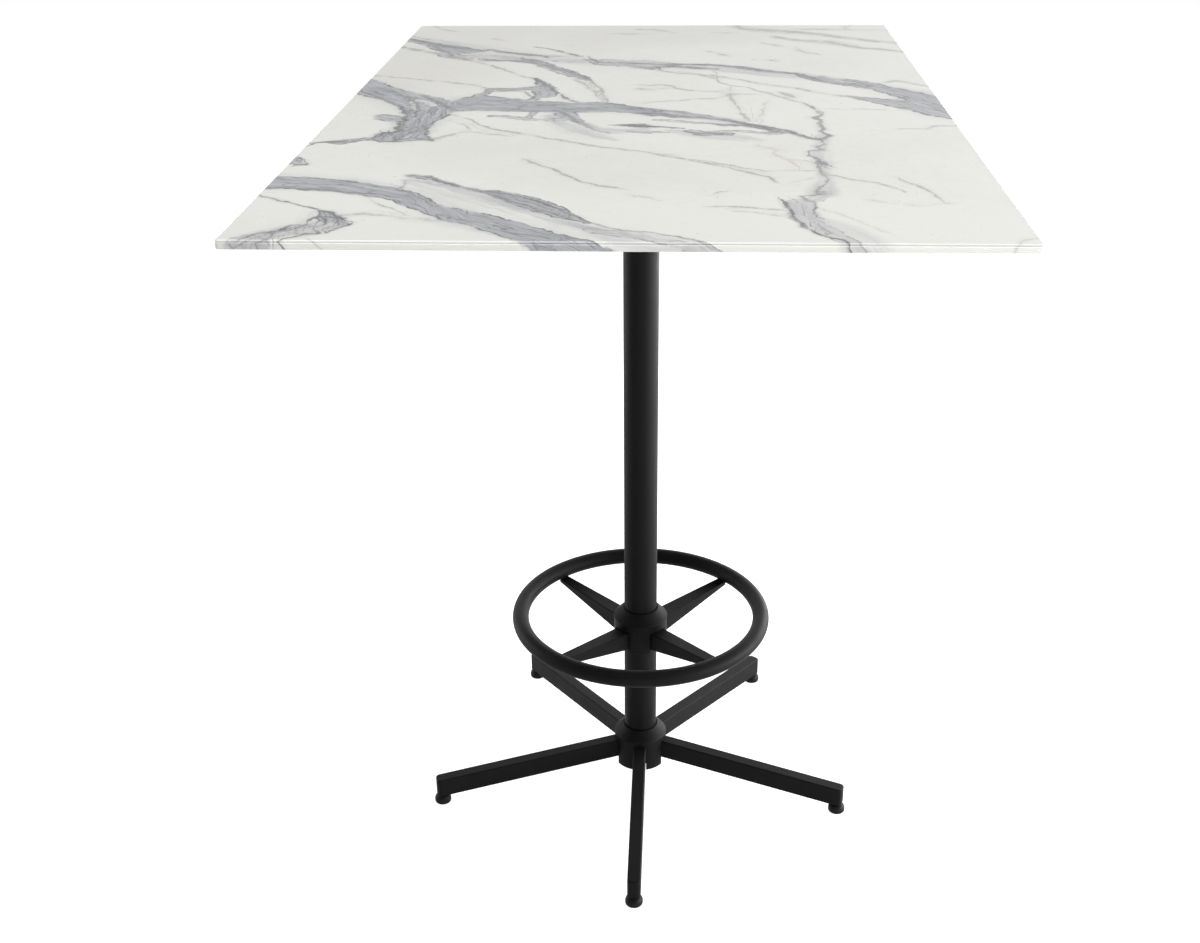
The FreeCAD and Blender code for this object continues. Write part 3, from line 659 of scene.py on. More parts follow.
VEINS: tuple[Vein, ...] = (
    Vein(BAND, 0.95, ((-400, 498, 9), (-372, 466, 10), (-350, 446, 11), (-332, 428, 15),
        (-312, 404, 21), (-292, 384, 25), (-272, 370, 19), (-252, 372, 9))),
    Vein(LACE, 0.80, ((-302, 352, 14), (-292, 332, 16), (-276, 318, 14), (-262, 304, 9))),
    Vein(LACE, 0.65, ((-262, 326, 9), (-236, 322, 14), (-210, 312, 14), (-190, 304, 12))),
    Vein(BAND, 0.85, ((-246, 300, 3), (-214, 296, 4), (-196, 298, 8), (-178, 296, 13), (-164, 286, 13),
        (-152, 272, 10), (-150, 258, 6))),
    Vein(LACE, 0.85, ((-240, 384, 4), (-222, 366, 6), (-200, 352, 6), (-178, 342, 6), (-160, 332, 6),
        (-148, 322, 5))),
    Vein(LACE, 0.50, ((-150, 330, 7), (-128, 334, 9), (-104, 330, 7))),
    Vein(LACE, 0.45, ((-130, 292, 6), (-110, 288, 8), (-92, 286, 7))),
    Vein(LACE, 0.80, ((-92, 304, 4), (-84, 296, 6), (-76, 284, 8), (-66, 272, 11), (-54, 268, 12),
        (-38, 262, 11), (-18, 258, 12), (2, 258, 14), (20, 262, 12), (38, 266, 6))),
    Vein(LACE, 0.50, ((-64, 300, 6), (-42, 288, 8), (-20, 284, 8), (-6, 290, 8), (10, 282, 8),
        (28, 272, 6))),
    Vein(LACE, 0.85, ((2, 244, 12), (12, 232, 10), (18, 222, 5))),
    Vein(BAND, 0.85, ((30, 264, 6), (60, 264, 5), (92, 260, 6), (112, 252, 7), (128, 244, 8),
        (148, 230, 7), (172, 210, 7), (198, 199, 4), (216, 190, 4))),
    Vein(BAND, 0.80, ((24, 254, 4), (46, 248, 6), (68, 238, 7), (96, 230, 5))),
    Vein(BAND, 0.95, ((214, 190, 5), (224, 170, 9), (236, 154, 12), (252, 138, 10), (270, 122, 9),
        (292, 108, 11), (312, 95, 16), (330, 72, 18), (350, 44, 21), (372, 10, 31), (394, -20, 42))),
    Vein(BAND, 0.85, ((240, 166, 8), (262, 153, 5), (285, 143, 5), (300, 128, 7), (312, 110, 10))),
    Vein(BAND, 0.90, ((266, 43, 3), (284, 28, 8), (304, 12, 15), (328, -6, 21), (352, -24, 26),
        (376, -48, 32), (396, -66, 34))),
    Vein(BAND, 0.92, ((-146, 260, 12), (-130, 232, 13), (-114, 208, 13), (-98, 184, 11), (-84, 162, 8),
        (-76, 148, 4))),
    Vein(BAND, 1.00, ((-402, 134, 34), (-368, 92, 30), (-340, 54, 27), (-316, 16, 16), (-302, -14, 9),
        (-294, -44, 7), (-288, -66, 8))),
    Vein(BAND, 0.90, ((-336, 84, 8), (-300, 46, 10), (-276, 26, 11), (-258, 6, 11), (-244, -18, 13),
        (-236, -40, 14))),
    Vein(LACE, 0.75, ((-302, 24, 6), (-288, -2, 7), (-276, -26, 8), (-268, -48, 10))),
    Vein(BAND, 1.00, ((-254, -46, 22), (-262, -72, 26), (-268, -96, 22), (-271, -124, 19),
        (-271, -156, 19), (-268, -180, 22), (-264, -194, 17))),
    Vein(BAND, 1.00, ((-246, -34, 16), (-228, -20, 28), (-206, -4, 44), (-184, -10, 40),
        (-158, -19, 34), (-128, -24, 32), (-96, -29, 29), (-62, -26, 30), (-36, -31, 25),
        (-10, -46, 16), (14, -62, 12), (36, -74, 11), (56, -83, 8), (76, -88, 5), (92, -94, 3))),
    Vein(BAND, 0.90, ((-218, 30, 8), (-212, 50, 7), (-204, 70, 6), (-202, 86, 7), (-186, 86, 8),
        (-168, 86, 9), (-152, 92, 10), (-140, 98, 10))),
    Vein(BAND, 0.92, ((-150, 162, 2), (-143, 142, 4), (-138, 122, 8), (-134, 102, 13), (-132, 82, 16),
        (-128, 62, 17), (-126, 44, 13))),
    Vein(BAND, 0.75, ((-134, 40, 7), (-138, 26, 6), (-140, 12, 6))),
    Vein(BAND, 0.85, ((-320, -78, 9), (-314, -88, 14), (-302, -96, 15), (-292, -98, 12))),
    Vein(CRACKLED, 0.90, ((-296, -178, 8), (-298, -196, 14), (-288, -204, 16), (-270, -200, 15),
        (-246, -200, 9))),
    Vein(CRACKLED, 0.85, ((-306, -202, 5), (-318, -208, 2), (-328, -216, 5), (-342, -222, 8),
        (-356, -220, 2), (-370, -222, 1), (-384, -226, 1))),
    Vein(CRACKLED, 0.80, ((-400, -306, 20), (-380, -312, 16), (-368, -322, 6), (-362, -326, 2))),
    Vein(BAND, 0.92, ((-400, -398, 26), (-345, -406, 23), (-300, -418, 22), (-264, -434, 21),
        (-238, -448, 18), (-216, -472, 17), (-202, -492, 14), (-184, -510, 16), (-164, -526, 20),
        (-138, -542, 20), (-110, -568, 20), (-82, -596, 22), (-50, -622, 24), (-14, -650, 26))),
    Vein(BAND, 0.88, ((-236, -372, 6), (-218, -380, 7), (-204, -390, 4), (-186, -406, 3),
        (-168, -422, 3), (-152, -434, 5), (-134, -444, 10), (-114, -462, 15), (-96, -480, 18),
        (-78, -500, 16), (-62, -520, 11), (-48, -536, 6), (-36, -548, 3))),
    Vein(LACE, 0.55, ((-34, -572, 6), (-10, -582, 10), (16, -590, 12), (44, -602, 11), (76, -622, 10),
        (110, -650, 6))),
    Vein(CRACKLED, 0.85, ((-298, -514, 4), (-291, -530, 11), (-282, -546, 15), (-274, -556, 10))),
    Vein(CRACKLED, 0.42, ((-286, -562, 18), (-300, -576, 17), (-322, -584, 14), (-338, -598, 14),
        (-350, -614, 20), (-352, -650, 22))),
    Vein(BAND, 0.40, ((168, -472, 14), (170, -498, 14), (170, -526, 14), (175, -548, 14),
        (186, -570, 13), (198, -592, 10), (208, -614, 9), (226, -650, 9))),
    Vein(BAND, 0.40, ((194, -438, 7), (190, -452, 10), (182, -462, 10))),
    Vein(BAND, 0.80, ((-98, -50, 9), (-92, -72, 13), (-82, -92, 11), (-74, -108, 6))),
    Vein(LACE, 0.70, ((-186, -80, 4), (-166, -82, 7), (-146, -92, 6), (-128, -102, 5), (-108, -102, 7),
        (-92, -96, 9))),
    Vein(LACE, 0.55, ((-134, -58, 4), (-135, -92, 4))),
    Vein(BAND, 0.80, ((-34, -130, 2), (-12, -130, 6), (4, -131, 9), (22, -137, 3), (52, -145, 2))),
    Vein(LACE, 0.60, ((-10, -164, 4), (20, -166, 6), (34, -168, 4))),
    Vein(LACE, 0.80, ((62, -160, 8), (74, -172, 12), (92, -172, 9), (108, -174, 6))),
    Vein(LACE, 0.60, ((88, -158, 3), (116, -158, 5), (142, -166, 5), (162, -174, 5), (178, -168, 3))),
    Vein(BAND, 0.78, ((-46, -4, 3), (-24, -18, 3.5), (0, -32, 3.5), (24, -46, 4.5), (46, -56, 6),
        (66, -68, 7), (84, -84, 7), (102, -98, 6), (122, -114, 4), (144, -132, 4), (164, -150, 4),
        (178, -158, 4), (188, -176, 3.5), (202, -197, 3.5), (210, -201, 3))),
    Vein(BAND, 0.52, ((84, -118, 3), (102, -127, 5), (124, -130, 5), (140, -140, 5), (156, -154, 5),
        (172, -166, 5), (182, -160, 3))),
    Vein(LACE, 0.60, ((22, -100, 4), (44, -106, 5), (64, -112, 5), (84, -118, 4))),
    Vein(WASH, 0.75, ((98, -106, 9), (124, -122, 11), (150, -146, 8))),
    Vein(WASH, 0.70, ((-350, 470, 20), (-290, 400, 44), (-220, 340, 48), (-150, 305, 40),
        (-80, 285, 30), (0, 265, 40), (100, 240, 30), (200, 190, 24), (280, 130, 26), (350, 50, 40),
        (400, -40, 70))),
    Vein(WASH, 0.75, ((90, 226, 12), (130, 210, 16), (170, 190, 18), (205, 172, 14), (226, 162, 8))),
    Vein(WASH, 0.60, ((-390, 120, 60), (-320, 40, 50), (-270, -40, 50), (-268, -150, 34),
        (-280, -200, 34))),
    Vein(WASH, 0.60, ((-220, 0, 55), (-130, -20, 44), (-40, -32, 36), (40, -66, 24), (120, -110, 18))),
    Vein(WASH, 0.70, ((-112, -80, 14), (-96, -120, 18), (-76, -158, 20), (-48, -186, 18),
        (-26, -206, 8))),
    Vein(WASH, 0.75, ((-66, -120, 8), (-46, -150, 12), (-24, -160, 14), (10, -150, 10))),
    Vein(WASH, 0.70, ((40, -160, 12), (80, -176, 22), (112, -190, 22), (140, -206, 10))),
    Vein(WASH, 0.60, ((-96, 160, 6), (-84, 130, 9), (-70, 96, 9), (-58, 60, 7), (-48, 14, 6))),
    Vein(WASH, 0.48, ((-232, -396, 16), (-196, -428, 26), (-150, -470, 34), (-100, -516, 36),
        (-50, -566, 32), (4, -600, 26), (60, -628, 18))),
    Vein(WASH, 0.95, ((-236, -392, 8), (-206, -404, 10), (-168, -434, 12), (-128, -472, 14),
        (-96, -508, 14), (-62, -546, 12), (-26, -572, 12))),
    Vein(WASH, 0.60, ((-390, -392, 40), (-300, -410, 34), (-220, -450, 30), (-160, -540, 28),
        (-70, -600, 32))),
    Vein(WASH, 0.55, ((-300, -520, 22), (-290, -556, 28), (-340, -600, 30), (-352, -640, 34))),
    Vein(WASH, 0.50, ((170, -480, 16), (178, -530, 18), (202, -566, 22), (220, -600, 20),
        (236, -640, 16))),
    Vein(WASH, 0.70, ((216, -180, 10), (206, -250, 12), (204, -300, 14), (204, -380, 10),
        (194, -436, 20))),
    Vein(WASH, 0.45, ((130, 600, 16), (170, 562, 26), (230, 540, 26), (280, 505, 20), (340, 462, 14),
        (400, 430, 12))),
    Vein(WASH, 0.45, ((196, 490, 10), (236, 462, 16), (276, 446, 26), (306, 416, 18), (330, 396, 12),
        (400, 352, 10))),
    Vein(WASH, 0.30, ((230, 570, 14), (320, 558, 18), (400, 560, 10))),
    Vein(HAZE, 0.38, ((-300, 560, 190), (-330, 300, 170), (-330, 120, 120))),
    Vein(HAZE, 0.35, ((-60, 520, 160), (120, 560, 140))),
    Vein(HAZE, 0.22, ((-160, -260, 120), (-40, -330, 120))),
    Vein(DARK, 0.85, ((-381, 482, 2), (-362, 462, 2.4), (-340, 446, 2.6), (-310, 412, 2.6),
        (-280, 394, 2.4), (-250, 376, 2))),
    Vein(DARK, 0.60, ((-352, 442, 1.2), (-330, 416, 1.8), (-318, 386, 2.2), (-300, 362, 1.8),
        (-292, 330, 1.8), (-272, 312, 2.0), (-262, 296, 1.2))),
    Vein(DARK, 0.70, ((-240, 386, 1.4), (-222, 368, 1.8), (-200, 354, 2.2), (-176, 340, 2.0),
        (-152, 330, 1.8), (-146, 318, 1.2))),
    Vein(DARK, 0.70, ((-236, 290, 1.2), (-206, 292, 1.8), (-180, 284, 2.2), (-160, 276, 2.0),
        (-152, 252, 1.4), (-136, 254, 1.6), (-122, 226, 1.6), (-100, 196, 1.6), (-84, 172, 1.4),
        (-74, 148, 1.0))),
    Vein(DARK, 0.65, ((-184, 320, 1.2), (-178, 300, 2.2), (-160, 292, 2.6), (-150, 280, 1.6))),
    Vein(DARK, 0.80, ((-174, 410, 1.0), (-150, 390, 1.4), (-126, 362, 2.0), (-110, 342, 2.2),
        (-104, 330, 1.2))),
    Vein(DARK, 0.60, ((-88, 328, 1.2), (-82, 308, 1.8), (-74, 294, 1.6), (-72, 276, 1.2))),
    Vein(DARK, 0.75, ((-40, 278, 1.0), (-8, 270, 2.2), (20, 262, 3.0), (40, 266, 2.6), (70, 263, 2.0),
        (96, 256, 2.0), (126, 246, 2.4), (150, 226, 2.8), (174, 210, 3.4), (196, 200, 1.6),
        (214, 190, 1.8), (226, 166, 2.0), (240, 148, 1.6))),
    Vein(DARK, 0.70, ((-12, 240, 2.4), (8, 236, 2.8), (40, 244, 1.8), (64, 236, 2.6), (92, 230, 1.8))),
    Vein(DARK, 0.60, ((252, 124, 1.4), (276, 118, 2.4), (294, 106, 2.4), (304, 112, 1.6),
        (288, 132, 1.6), (268, 148, 1.2))),
    Vein(DARK, 0.45, ((318, 22, 1.2), (334, 28, 1.8), (340, 40, 1.2))),
    Vein(DARK, 0.85, ((-150, 158, 1.2), (-142, 138, 2.0), (-126, 100, 1.6), (-112, 62, 2.0),
        (-102, 34, 2.2), (-94, 16, 2.0), (-82, 6, 1.4))),
    Vein(DARK, 0.60, ((-200, 72, 1.8), (-190, 70, 2.6), (-176, 74, 1.6), (-156, 72, 1.8),
        (-150, 50, 1.6), (-140, 24, 1.4))),
    Vein(DARK, 0.75, ((-381, 86, 1.6), (-362, 54, 1.8), (-336, 20, 1.6), (-312, -20, 1.8),
        (-298, -46, 2.2), (-290, -70, 2.0), (-292, -96, 2.6))),
    Vein(DARK, 0.70, ((-362, 98, 1.4), (-334, 66, 1.6), (-306, 30, 1.8), (-290, 0, 1.8),
        (-282, -30, 1.8), (-280, -62, 2.2))),
    Vein(DARK, 0.65, ((-284, 40, 1.2), (-266, 10, 1.6), (-252, -14, 2.0), (-238, -40, 2.4),
        (-224, -52, 1.6))),
    Vein(DARK, 0.95, ((-292, -94, 2.8), (-286, -106, 2.4), (-293, -118, 2.6), (-286, -134, 3.0),
        (-292, -146, 2.6), (-282, -158, 3.4), (-288, -170, 2.6), (-304, -176, 2.0))),
    Vein(DARK, 0.90, ((-304, -170, 2.0), (-302, -186, 1.6), (-312, -196, 2.4), (-330, -206, 2.4),
        (-352, -216, 2.8), (-372, -224, 1.4), (-381, -244, 1.0))),
    Vein(DARK, 0.70, ((-290, -180, 1.4), (-284, -196, 1.8), (-280, -214, 1.6), (-268, -202, 1.4),
        (-246, -206, 1.6), (-238, -212, 1.2), (-248, -184, 1.6), (-252, -158, 1.0))),
    Vein(DARK, 0.50, ((-252, -110, 1.2), (-250, -140, 1.4), (-252, -162, 1.2))),
    Vein(DARK, 0.55, ((-232, -50, 1.4), (-200, -48, 1.4), (-166, -52, 1.2), (-152, -30, 1.0),
        (-148, -8, 0.8))),
    Vein(DARK, 0.50, ((-50, 4, 1.2), (-34, -8, 1.6), (-18, -20, 1.4), (-2, -34, 1.8), (24, -46, 2.0),
        (48, -54, 2.2), (68, -72, 1.6))),
    Vein(DARK, 0.75, ((4, -62, 2.0), (24, -68, 4.0), (46, -80, 3.0), (76, -84, 1.8), (100, -98, 2.2),
        (124, -116, 1.8), (150, -138, 2.0), (176, -156, 2.2))),
    Vein(DARK, 0.85, ((86, -120, 1.2), (100, -127, 2.0), (124, -130, 1.8), (142, -142, 2.0),
        (164, -160, 3.2), (176, -166, 1.6))),
    Vein(DARK, 0.95, ((176, -154, 2.0), (184, -170, 2.6), (194, -190, 2.4), (206, -200, 2.0),
        (212, -204, 1.4))),
    Vein(DARK, 0.90, ((-18, -131, 1.6), (-4, -130, 5.0), (6, -132, 5.0), (22, -138, 1.6))),
    Vein(DARK, 0.60, ((-98, -56, 1.6), (-86, -84, 2.4), (-76, -108, 1.8), (-64, -132, 2.6),
        (-52, -154, 2.6), (-34, -170, 1.2))),
    Vein(DARK, 0.70, ((62, -168, 2.6), (72, -174, 4.4), (82, -166, 2.4), (96, -174, 3.6),
        (106, -172, 1.8))),
    Vein(DARK, 0.75, ((-381, -286, 1.2), (-368, -300, 1.6), (-358, -322, 1.8), (-370, -330, 1.2))),
    Vein(DARK, 0.70, ((-381, -426, 1.8), (-350, -426, 2.0), (-320, -430, 2.8), (-296, -438, 2.2),
        (-262, -446, 1.6), (-236, -458, 1.4))),
    Vein(DARK, 0.55, ((-350, -378, 1.0), (-320, -388, 1.6), (-296, -398, 1.6), (-270, -408, 1.4),
        (-242, -424, 1.6), (-232, -438, 1.2))),
    Vein(DARK, 0.75, ((-234, -372, 2.0), (-212, -382, 2.6), (-196, -400, 2.4), (-176, -418, 2.2),
        (-156, -434, 2.4), (-136, -438, 3.0), (-112, -452, 2.8), (-90, -472, 2.4), (-74, -492, 2.2),
        (-62, -512, 2.0), (-46, -530, 2.2), (-36, -546, 1.6))),
    Vein(DARK, 0.60, ((-150, -440, 1.6), (-128, -462, 2.4), (-106, -484, 2.2), (-84, -506, 2.4),
        (-62, -526, 1.8))),
    Vein(DARK, 0.60, ((-38, -544, 1.4), (-20, -560, 1.6), (-4, -572, 1.4), (20, -576, 1.8),
        (42, -588, 1.8), (62, -600, 1.6), (76, -616, 1.2), (98, -632, 1.0))),
    Vein(DARK, 0.50, ((-238, -400, 1.0), (-236, -424, 1.6), (-224, -446, 1.8), (-204, -468, 1.6),
        (-196, -490, 1.2))),
    Vein(DARK, 0.45, ((-124, -560, 1.2), (-104, -584, 1.6), (-84, -608, 1.6), (-70, -636, 1.2))),
    Vein(DARK, 0.85, ((-381, -450, 1.6), (-356, -470, 2.4), (-328, -490, 1.8), (-304, -506, 2.2),
        (-292, -514, 2.6))),
    Vein(DARK, 0.85, ((-302, -510, 1.6), (-300, -528, 1.4), (-308, -544, 1.6), (-304, -558, 1.6),
        (-322, -562, 1.8), (-326, -578, 1.4), (-346, -590, 1.6), (-358, -606, 1.4))),
    Vein(DARK, 0.85, ((-290, -514, 1.8), (-284, -526, 1.6), (-272, -540, 1.8), (-262, -548, 1.8),
        (-266, -560, 1.4), (-276, -574, 1.8), (-280, -586, 2.0), (-300, -588, 1.8), (-308, -600, 1.8),
        (-320, -612, 1.4), (-306, -640, 1.2))),
    Vein(DARK, 0.75, ((-300, -530, 1.2), (-290, -542, 1.6), (-288, -558, 1.6), (-296, -566, 1.2),
        (-292, -578, 1.6), (-284, -586, 1.2))),
    Vein(DARK, 0.60, ((-304, -558, 1.2), (-312, -572, 1.4), (-330, -584, 1.4), (-328, -600, 1.2),
        (-342, -614, 1.4), (-336, -640, 1.2))),
    Vein(DARK, 0.50, ((94, 184, 0.8), (100, 160, 1.0), (101, 132, 1.2), (116, 112, 1.2),
        (138, 100, 1.2), (150, 78, 1.4), (164, 62, 1.6), (176, 40, 2.0), (192, 16, 2.2),
        (204, 0, 1.8))),
    Vein(DARK, 0.75, ((204, 0, 1.8), (214, -24, 1.8), (222, -52, 2.2), (222, -72, 1.8), (214, -86, 2.6),
        (218, -112, 1.8), (217, -136, 2.6), (219, -150, 2.2), (216, -166, 2.4), (222, -184, 2.6),
        (212, -204, 2.4))),
    Vein(DARK, 0.72, ((212, -204, 2.0), (214, -222, 1.8), (206, -240, 2.4), (208, -254, 2.6),
        (194, -256, 2.4), (192, -276, 2.2), (200, -296, 2.4), (206, -318, 3.4), (212, -326, 1.6))),
    Vein(DARK, 0.60, ((200, -300, 1.4), (198, -326, 1.6), (200, -352, 2.0), (206, -382, 1.8),
        (200, -400, 1.6), (190, -424, 1.8), (190, -440, 1.4))),
    Vein(DARK, 0.60, ((196, -440, 1.2), (184, -446, 2.0), (170, -448, 1.6), (178, -464, 2.4),
        (186, -470, 1.8), (184, -492, 1.6), (182, -514, 1.8), (188, -532, 1.2))),
    Vein(DARK, 0.90, ((150, -460, 1.4), (155, -474, 2.4), (158, -500, 2.0), (161, -530, 2.0),
        (165, -548, 2.6), (172, -566, 2.8), (178, -580, 2.4), (188, -592, 2.2), (200, -598, 1.6),
        (206, -614, 1.4), (212, -640, 1.2))),
    Vein(DARK, 0.55, ((182, -548, 1.4), (186, -566, 2.4), (192, -578, 2.0), (186, -584, 1.2))),
    Vein(PALE, 0.95, ((-262, 296, 1.6), (-240, 276, 1.8), (-222, 256, 1.8), (-202, 226, 1.6),
        (-184, 196, 1.6), (-166, 170, 1.6), (-150, 158, 1.8))),
    Vein(PALE, 0.95, ((-381, 412, 3), (-352, 384, 3.4), (-322, 358, 3), (-298, 334, 3),
        (-276, 306, 2.6), (-262, 296, 2))),
    Vein(PALE, 0.80, ((-381, 182, 1.8), (-340, 166, 1.8), (-300, 148, 2.0), (-262, 132, 2.0),
        (-226, 112, 2.2), (-212, 96, 3), (-206, 70, 2))),
    Vein(PALE, 0.85, ((-96, 150, 1.2), (-84, 130, 1.4), (-70, 90, 1.4), (-60, 52, 1.4), (-52, 8, 1.4))),
    Vein(PALE, 0.95, ((-74, 148, 1.4), (-64, 110, 1.8), (-54, 78, 1.8), (-50, 40, 1.6), (-44, 4, 1.6))),
    Vein(PALE, 0.90, ((56, 206, 2), (80, 186, 2), (104, 172, 2), (134, 148, 2), (156, 124, 2.4),
        (180, 108, 2.4), (202, 94, 2.6), (224, 68, 2.6), (244, 50, 2.8), (268, 38, 3.4), (280, 24, 3))),
    Vein(PALE, 0.80, ((14, 224, 3), (34, 204, 2.4), (60, 194, 2), (82, 178, 2), (96, 160, 1.6))),
    Vein(PALE, 0.60, ((96, 226, 2), (100, 200, 1.2), (98, 178, 1))),
    Vein(PALE, 0.85, ((-232, -72, 1.2), (-206, -102, 1.4), (-192, -130, 1.6), (-176, -150, 2),
        (-150, -166, 2), (-122, -186, 2.2), (-98, -202, 2.4), (-74, -218, 2.6), (-50, -236, 2),
        (-20, -250, 2.2), (16, -266, 2), (46, -290, 2), (74, -310, 1.8), (100, -332, 1.8),
        (122, -354, 2), (142, -374, 2.2), (152, -396, 1.4))),
    Vein(PALE, 0.80, ((58, -296, 1.6), (78, -304, 1.6), (98, -320, 1.8), (120, -336, 1.4),
        (140, -348, 1.4), (164, -344, 1.8), (190, -346, 1.4))),
    Vein(PALE, 0.65, ((-232, -104, 1.2), (-212, -126, 1.4), (-202, -150, 1.4))),
    Vein(PALE, 0.75, ((-238, -206, 1.4), (-224, -188, 3), (-210, -170, 2), (-198, -166, 2),
        (-176, -176, 2.6), (-154, -186, 2))),
    Vein(PALE, 0.90, ((-118, -304, 3), (-104, -322, 2), (-88, -340, 2), (-68, -372, 2),
        (-50, -396, 2.2), (-34, -410, 2.4), (-6, -424, 2.2))),
    Vein(PALE, 0.75, ((-268, -454, 2), (-252, -482, 2.2), (-232, -502, 2), (-216, -522, 2),
        (-196, -538, 2.4))),
    Vein(PALE, 0.80, ((-282, -526, 3), (-258, -520, 3.4), (-236, -526, 4), (-212, -536, 4),
        (-186, -540, 4))),
    Vein(PALE, 0.55, ((-296, -602, 1.2), (-280, -620, 1.4), (-264, -640, 1.4))),
    Vein(PALE, 0.80, ((6, -450, 2.6), (18, -455, 1.8), (28, -464, 1.4))),
    Vein(PALE, 0.85, ((86, -488, 2.6), (110, -488, 2), (130, -494, 2), (148, -500, 2))),
    Vein(PALE, 0.60, ((104, -504, 1.4), (128, -512, 1.6), (150, -520, 1.4))),
    Vein(PALE, 0.80, ((-2, 116, 2), (18, 114, 3), (38, 108, 2), (46, 92, 2), (58, 80, 2.2),
        (80, 74, 1.8), (100, 72, 1.4))),
    Vein(PALE, 0.70, ((-6, 88, 3), (10, 86, 4), (26, 90, 2))),
    Vein(PALE, 0.75, ((2, 0, 1.6), (22, 8, 2.2), (46, 12, 2), (66, 24, 2), (96, 26, 2), (106, 40, 2),
        (112, 58, 2))),
    Vein(PALE, 0.80, ((116, 96, 1.4), (114, 62, 3), (112, 40, 2.4), (118, 10, 1.8), (122, -30, 1.8),
        (128, -70, 2), (133, -100, 1.6))),
    Vein(PALE, 0.50, ((160, 6, 1.6), (154, -30, 2), (149, -70, 1.6), (148, -110, 1.2))),
    Vein(PALE, 0.70, ((118, 56, 1.6), (140, 54, 2), (160, 56, 1.4))),
    Vein(PALE, 0.80, ((180, 66, 1.6), (188, 54, 4), (196, 36, 2.4))),
    Vein(PALE, 0.50, ((224, -36, 1.4), (256, -36, 1.6), (284, -38, 2.2), (330, -44, 1.2))),
    Vein(PALE, 0.65, ((322, 132, 2), (338, 144, 4), (352, 134, 3), (368, 116, 2), (384, 100, 1.6))),
    Vein(PALE, 0.60, ((310, -146, 1.4), (340, -146, 2), (352, -132, 2), (384, -128, 2))),
    Vein(PALE, 0.85, ((138, 610, 3), (146, 578, 4), (170, 560, 5), (196, 552, 6), (232, 542, 6),
        (258, 524, 5), (288, 498, 4), (318, 474, 3.4), (350, 452, 3), (384, 434, 3))),
    Vein(PALE, 0.85, ((196, 500, 3), (206, 480, 4), (232, 462, 3), (262, 454, 5), (284, 438, 6),
        (304, 416, 5), (318, 396, 4), (346, 388, 3), (384, 360, 3))),
    Vein(PALE, 0.60, ((244, 566, 2), (282, 566, 3), (316, 562, 3), (312, 590, 2), (330, 610, 2))),
    Vein(PALE, 0.80, ((90, 368, 2), (104, 352, 3), (116, 334, 3))),
    Vein(PALE, 0.70, ((164, 302, 3), (178, 300, 4), (186, 292, 2))),
    Vein(PALE, 0.60, ((174, 444, 2), (186, 428, 3), (200, 412, 2))),
    Vein(PALE, 0.75, ((222, 404, 1.4), (224, 380, 2.4), (232, 360, 2.6), (250, 346, 1.8))),
    Vein(PALE, 0.60, ((-20, 570, 3), (2, 566, 3.4), (20, 554, 3), (36, 534, 2))),
    Vein(PALE, 0.50, ((-50, 526, 3), (-26, 526, 3.4), (-6, 526, 3))),
    Vein(PALE, 0.55, ((-356, 602, 3), (-342, 572, 2.4), (-316, 550, 2))),
    Vein(PALE, 0.45, ((-248, 484, 2), (-226, 464, 2.6))),
    Vein(PALE, 0.70, ((-381, 504, 2), (-362, 488, 3), (-350, 476, 2))),
    Vein(PALE, 0.45, ((104, 536, 3), (130, 534, 3))),
    Vein(PALE, 0.45, ((350, -640, 1.4), (358, -608, 1.8), (364, -596, 2.4), (384, -588, 2.4))),
    Vein(PALE, 0.75, ((203, -352, 1.4), (212, -366, 1.8), (230, -382, 1.6), (252, -394, 2),
        (266, -410, 2), (276, -428, 1.6))),
    Vein(PALE, 0.80, ((280, -378, 1.4), (290, -400, 2.6), (302, -424, 2.2), (306, -446, 1.8),
        (312, -464, 1.2))),
    Vein(PALE, 0.70, ((94, -434, 1.8), (88, -440, 1.4))),
    Vein(ROSE, 0.90, ((136, -220, 2), (146, -238, 5), (158, -252, 4), (154, -268, 3), (162, -290, 3),
        (172, -308, 2.6), (178, -336, 2))),
    Vein(ROSE, 0.70, ((162, -398, 2), (180, -386, 2.4), (192, -370, 2), (202, -350, 1.6))),
    Vein(ROSE, 0.75, ((168, -402, 2), (178, -414, 3), (190, -432, 3))),
    Vein(ROSE, 0.70, ((164, -292, 2), (184, -300, 2), (200, -312, 1.6))),
    Vein(ROSE, 0.65, ((190, -498, 1.8), (206, -516, 2.2), (222, -540, 2), (236, -562, 1.8),
        (246, -580, 1.4))),
    Vein(ROSE, 0.85, ((240, -462, 3), (252, -470, 2), (270, -478, 2), (284, -482, 2.4), (300, -476, 2),
        (318, -472, 1.6))),
    Vein(ROSE, 0.60, ((30, -268, 2), (40, -278, 3), (52, -290, 2))),
    Vein(ROSE, 0.60, ((100, -500, 1.2), (124, -506, 1.4), (150, -516, 1.2))),
)


@dataclass
class Nearest:
    """Three numbers for each point, taken from the vein that covers the point most."""

    count: int
    start: float = -math.inf

    def __post_init__(self) -> None:
        """Begin with no vein."""
        self.depth = np.full(self.count, self.start)
        self.rows = np.zeros((self.count, 3))

    def take(self, depth: np.ndarray, *columns: np.ndarray | float) -> None:
        """Take over the points that a vein covers more than those before it.

        Args:
            depth: how deep each point lies in the vein.
            columns: the vein's numbers at each point, or for all points.
        """
        won = depth > self.depth
        self.depth[won] = depth[won]
        for column, numbers in enumerate(columns):
            self.rows[won, column] = np.broadcast_to(numbers, won.shape)[won]


